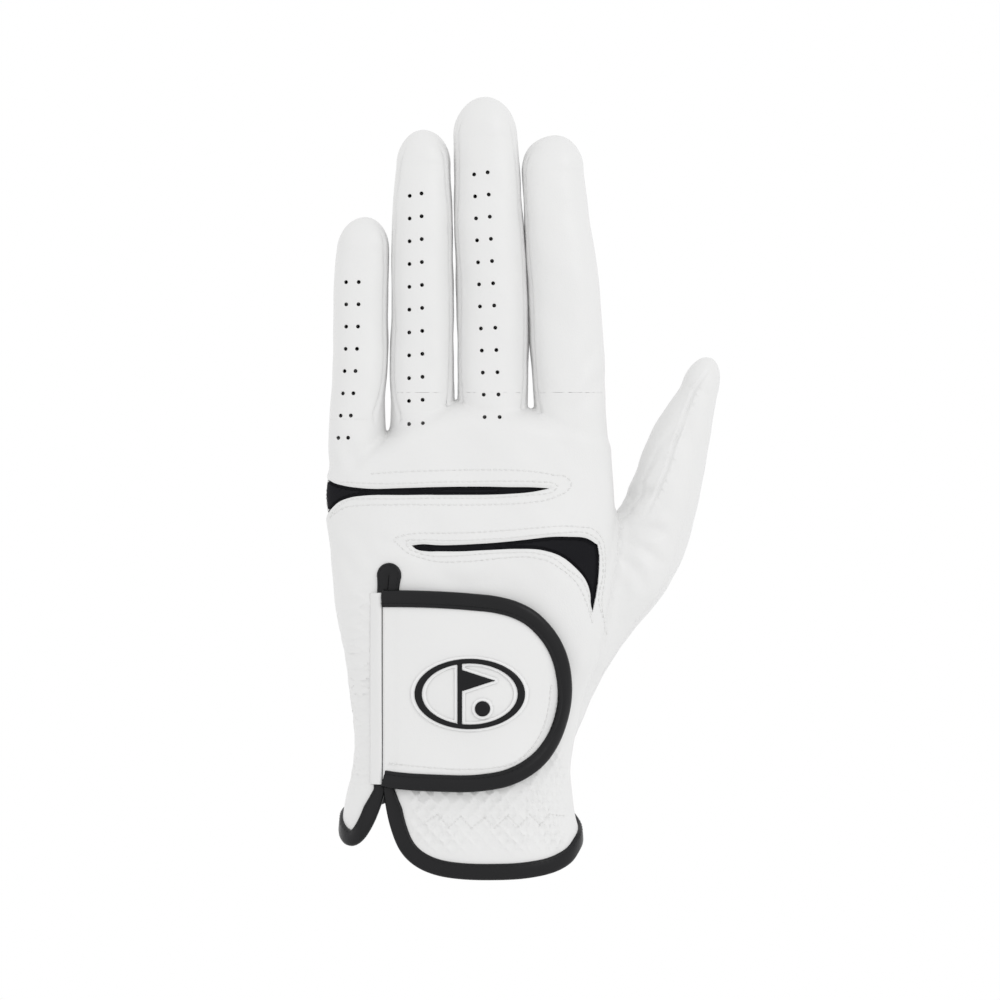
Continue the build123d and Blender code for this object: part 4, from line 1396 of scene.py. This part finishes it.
def stepped_in(line, distance):
    """A flat line moved sideways, towards the tab's middle."""
    way = np.gradient(line, axis=0)
    way /= np.linalg.norm(way, axis=1, keepdims=True)
    side = np.stack([way[:, 1], -way[:, 0]], axis=1)
    if (side * (TAB_MIDDLE - line)).sum() < 0:
        side = -side
    return line + side * distance


stitched(
    "tab_binding_stitches", [tab_surface(stepped_in(even_rim, 3.38), TAB_LIFT + 0.35)], "tab", black_thread,
    pitch=1.5, length=1.05, thickness=0.28,
)
tab_layer(
    "tab_hook_pad", lambda p: np.maximum(in_tab(p) + 7.5, 3.0 - p[:, 0]), TAB_LIFT - 1.3, 0.7, hook_plastic,
    ("hook_patch",), 1.2,
)


# the badge: a black ring, flag and ball with a pale moulded edge
def in_flag(p):
    flag = np.array([(0, 7.4), (10.5, 4.0), (0, 0.6)]) + BADGE + (-3.0, 0)
    return outline_distance(p[:, 0], p[:, 1], flag)


def badge_shape(p, grow=0.0):
    """Distance of points (x, height) to the badge's edge, grown outwards, negative inside it."""
    q = p - BADGE
    reach = np.hypot(q[:, 0] / 16.5, q[:, 1] / 10.5)
    ring = np.abs((reach - 1) * 12.6 + 0.85) - 0.85
    staff = np.maximum(np.abs(q[:, 0] + 3.0) - 0.7, np.abs(q[:, 1]) - 9.6)
    ball = np.hypot(q[:, 0] - 3.8, q[:, 1] + 4.4) - 2.3
    return np.minimum(np.minimum(ring, staff), np.minimum(in_flag(p), ball)) - grow


for name, grow, lift, thick, rubber, replaces, height_of, softness in (
    ("badge_emblem", 0.0, 0.85, 0.6, badge_black, ("tab_badge",), 0.22, 0.35),
    ("badge_backing", 0.9, 0.42, 0.45, badge_white, (), 0.15, 0.3),
):
    def crown(p):
        """The moulding's edges are rounded."""
        return height_of * (1 - np.exp(-np.maximum(-badge_shape(p, grow), 0) / softness))

    tab_layer(
        name, lambda p: badge_shape(p, grow), TAB_LIFT + lift, thick, rubber, replaces,
        0.35, (-15, 43, 21, 67), crown,
    )

# the strip that the tab is sewn to, beside the slit
STRIP_X, STRIP_Z, STRIP_HALF = HINGE_X - 1.9, 56.5, 28.6
p, f = flat_sheet(
    lambda q: np.maximum(np.abs(q[:, 0] - STRIP_X) - 1.8, np.abs(q[:, 1] - STRIP_Z) - STRIP_HALF),
    (-28, 26, -22, 87), 0.7,
)
edge = np.minimum(1.75 - np.abs(p[:, 0] - (HINGE_X - 2.0)), STRIP_HALF - np.abs(p[:, 1] - STRIP_Z))
slope = 1.9 * np.clip((HINGE_X - 0.4 - p[:, 0]) / 3.2, 0, 1) ** 1.5
v = tab_surface(p, TAB_LIFT - 0.25 * np.exp(-edge / 0.5) - slope)
f = facing(v, f, tab_normals(p))
v, f, _ = walled(v, f, mesh_normals(v, f), 1.3)
put("tab_sewn_strip", v, f, white_leather, "hand", ("tab_anchor",))


# ---- Layers inside: elastic, label, loop pad ----------------------------------------------------
lining = is_leather & ~above & ~thumb_part
x, y, z = centre.T
for name, node, wanted, cloth, slot, lift, thick in (
    (
        "cuff_elastic_band", "cuff_elastic", is_front & (y < 0) & (x > -17) & (x < 30) & (z > 14) & (z < 24),
        elastic_cloth, "elastic", -0.95, 0.7,
    ),
    (
        "side_elastic_band", "side_elastic", (x < -27) & (y < 8) & (z > 40) & (z < 80),
        elastic_cloth, "elastic", -0.95, 0.7,
    ),
    (
        "palm_elastic_band", "palm_elastic", (y > 6) & (np.abs(x) < 24) & (z > 34) & (z < 44),
        elastic_cloth, "elastic", -0.95, 0.7,
    ),
    (
        "size_label_cloth", "size_label", (y > 6) & (np.abs(x) < 8) & (z > 51) & (z < 62),
        label_cloth, "label_cloth", -0.95, 0.4,
    ),
    ("loop_pad", "loop_patch", loop_field(centre) < 0, loop_cloth, "loop_cloth", 0.85, 0.8),
):
    sheet_piece(name, wanted & lining, cloth, "hand", (node,), lift, thick)
pad_line = stepped_in(rim_line, 7.6)
pad_line = pad_line[pad_line[:, 0] > -13]
pad_line = np.concatenate([pad_line, [(-13, z) for z in np.arange(pad_line[-1, 1], pad_line[0, 1], 0.7)]])
stitched(
    "loop_pad_stitches", [on_back(pad_line, WHOLE, 0.9)], "hand",
    pitch=1.5, length=1.1, thickness=0.3,
)


# ---- Stitches on the hand ----------------------------------------------------------------------
def back_row(points):
    """A line on the back, just outside the leather and following its tucked edges."""
    parts = ("hand", "thumb")
    p = on_back(smoothed(points, 0.6), parts)
    return p + slope_of(p, parts) * (0.05 + drawn_in(p, np.zeros(len(p))))[:, None]


rows = [back_row(r) for r in UPPER_ROWS + LOWER_ROWS]
stitched("window_stitches", rows, "hand", pitch=1.75, length=1.25, thickness=0.32)
ZIGZAG = [
    (-10.5, 16.5), (-6.6, 18.9), (-3.3, 15.3), (0.3, 18.3), (3.6, 15), (7.5, 18), (10.4, 15), (14.4, 18.6),
    (17.4, 15.3), (21, 18.9), (24, 15.9), (26.7, 18.9), (31, 18.4),
]
runs = [back_row(ZIGZAG[k:k + 2]) for k in range(len(ZIGZAG) - 1)]
stitched("cuff_stitches", runs, "hand", pitch=1.1, length=0.9, thickness=0.3)


# ---- Camera, light and floor -------------------------------------------------------------------
eye = bpy.data.objects.new("camera", bpy.data.cameras.new("camera"))
bpy.context.scene.collection.objects.link(eye)
eye.location = (0.012, -3.0, 0.1128)
eye.rotation_euler = (math.radians(90), 0, 0)
eye.data.lens, eye.data.sensor_width = 360, 36
eye.data.clip_start, eye.data.clip_end = 0.1, 20
bpy.context.scene.camera = eye


def lamp(name, place, size, power):
    """A soft square light that points at the glove."""
    made = bpy.data.objects.new(name, bpy.data.lights.new(name, "AREA"))
    made.data.size, made.data.energy = size, power
    made.location = place
    way = mathutils.Vector((0.012, 0, 0.11)) - made.location
    made.rotation_euler = way.to_track_quat("-Z", "Y").to_euler()
    bpy.context.scene.collection.objects.link(made)
    return made


lamp("key_light", (1.1, -1.3, 1.0), 0.7, 4.5)
lamp("fill_light", (-1.2, -1.6, 0.4), 1.0, 0.6)
sky = bpy.data.worlds.new("studio")
sky.use_nodes = True
sky.node_tree.nodes["Background"].inputs["Color"].default_value = (1, 1, 1, 1)
sky.node_tree.nodes["Background"].inputs["Strength"].default_value = 1.0
bpy.context.scene.world = sky
bpy.context.scene.view_settings.view_transform = "Standard"

floor = bmesh.new()
bmesh.ops.create_circle(floor, cap_ends=True, segments=64, radius=0.25)
ground = bpy.data.meshes.new("studio_floor")
floor.to_mesh(ground)
floor.free()
floor = bpy.data.objects.new("studio_floor", ground)
floor.location = (0.012, 0, -0.075)
bpy.context.scene.collection.objects.link(floor)
ground.materials.append(finish_of("studio_floor", (0.95, 0.95, 0.95), 0.9, tint=0.01))
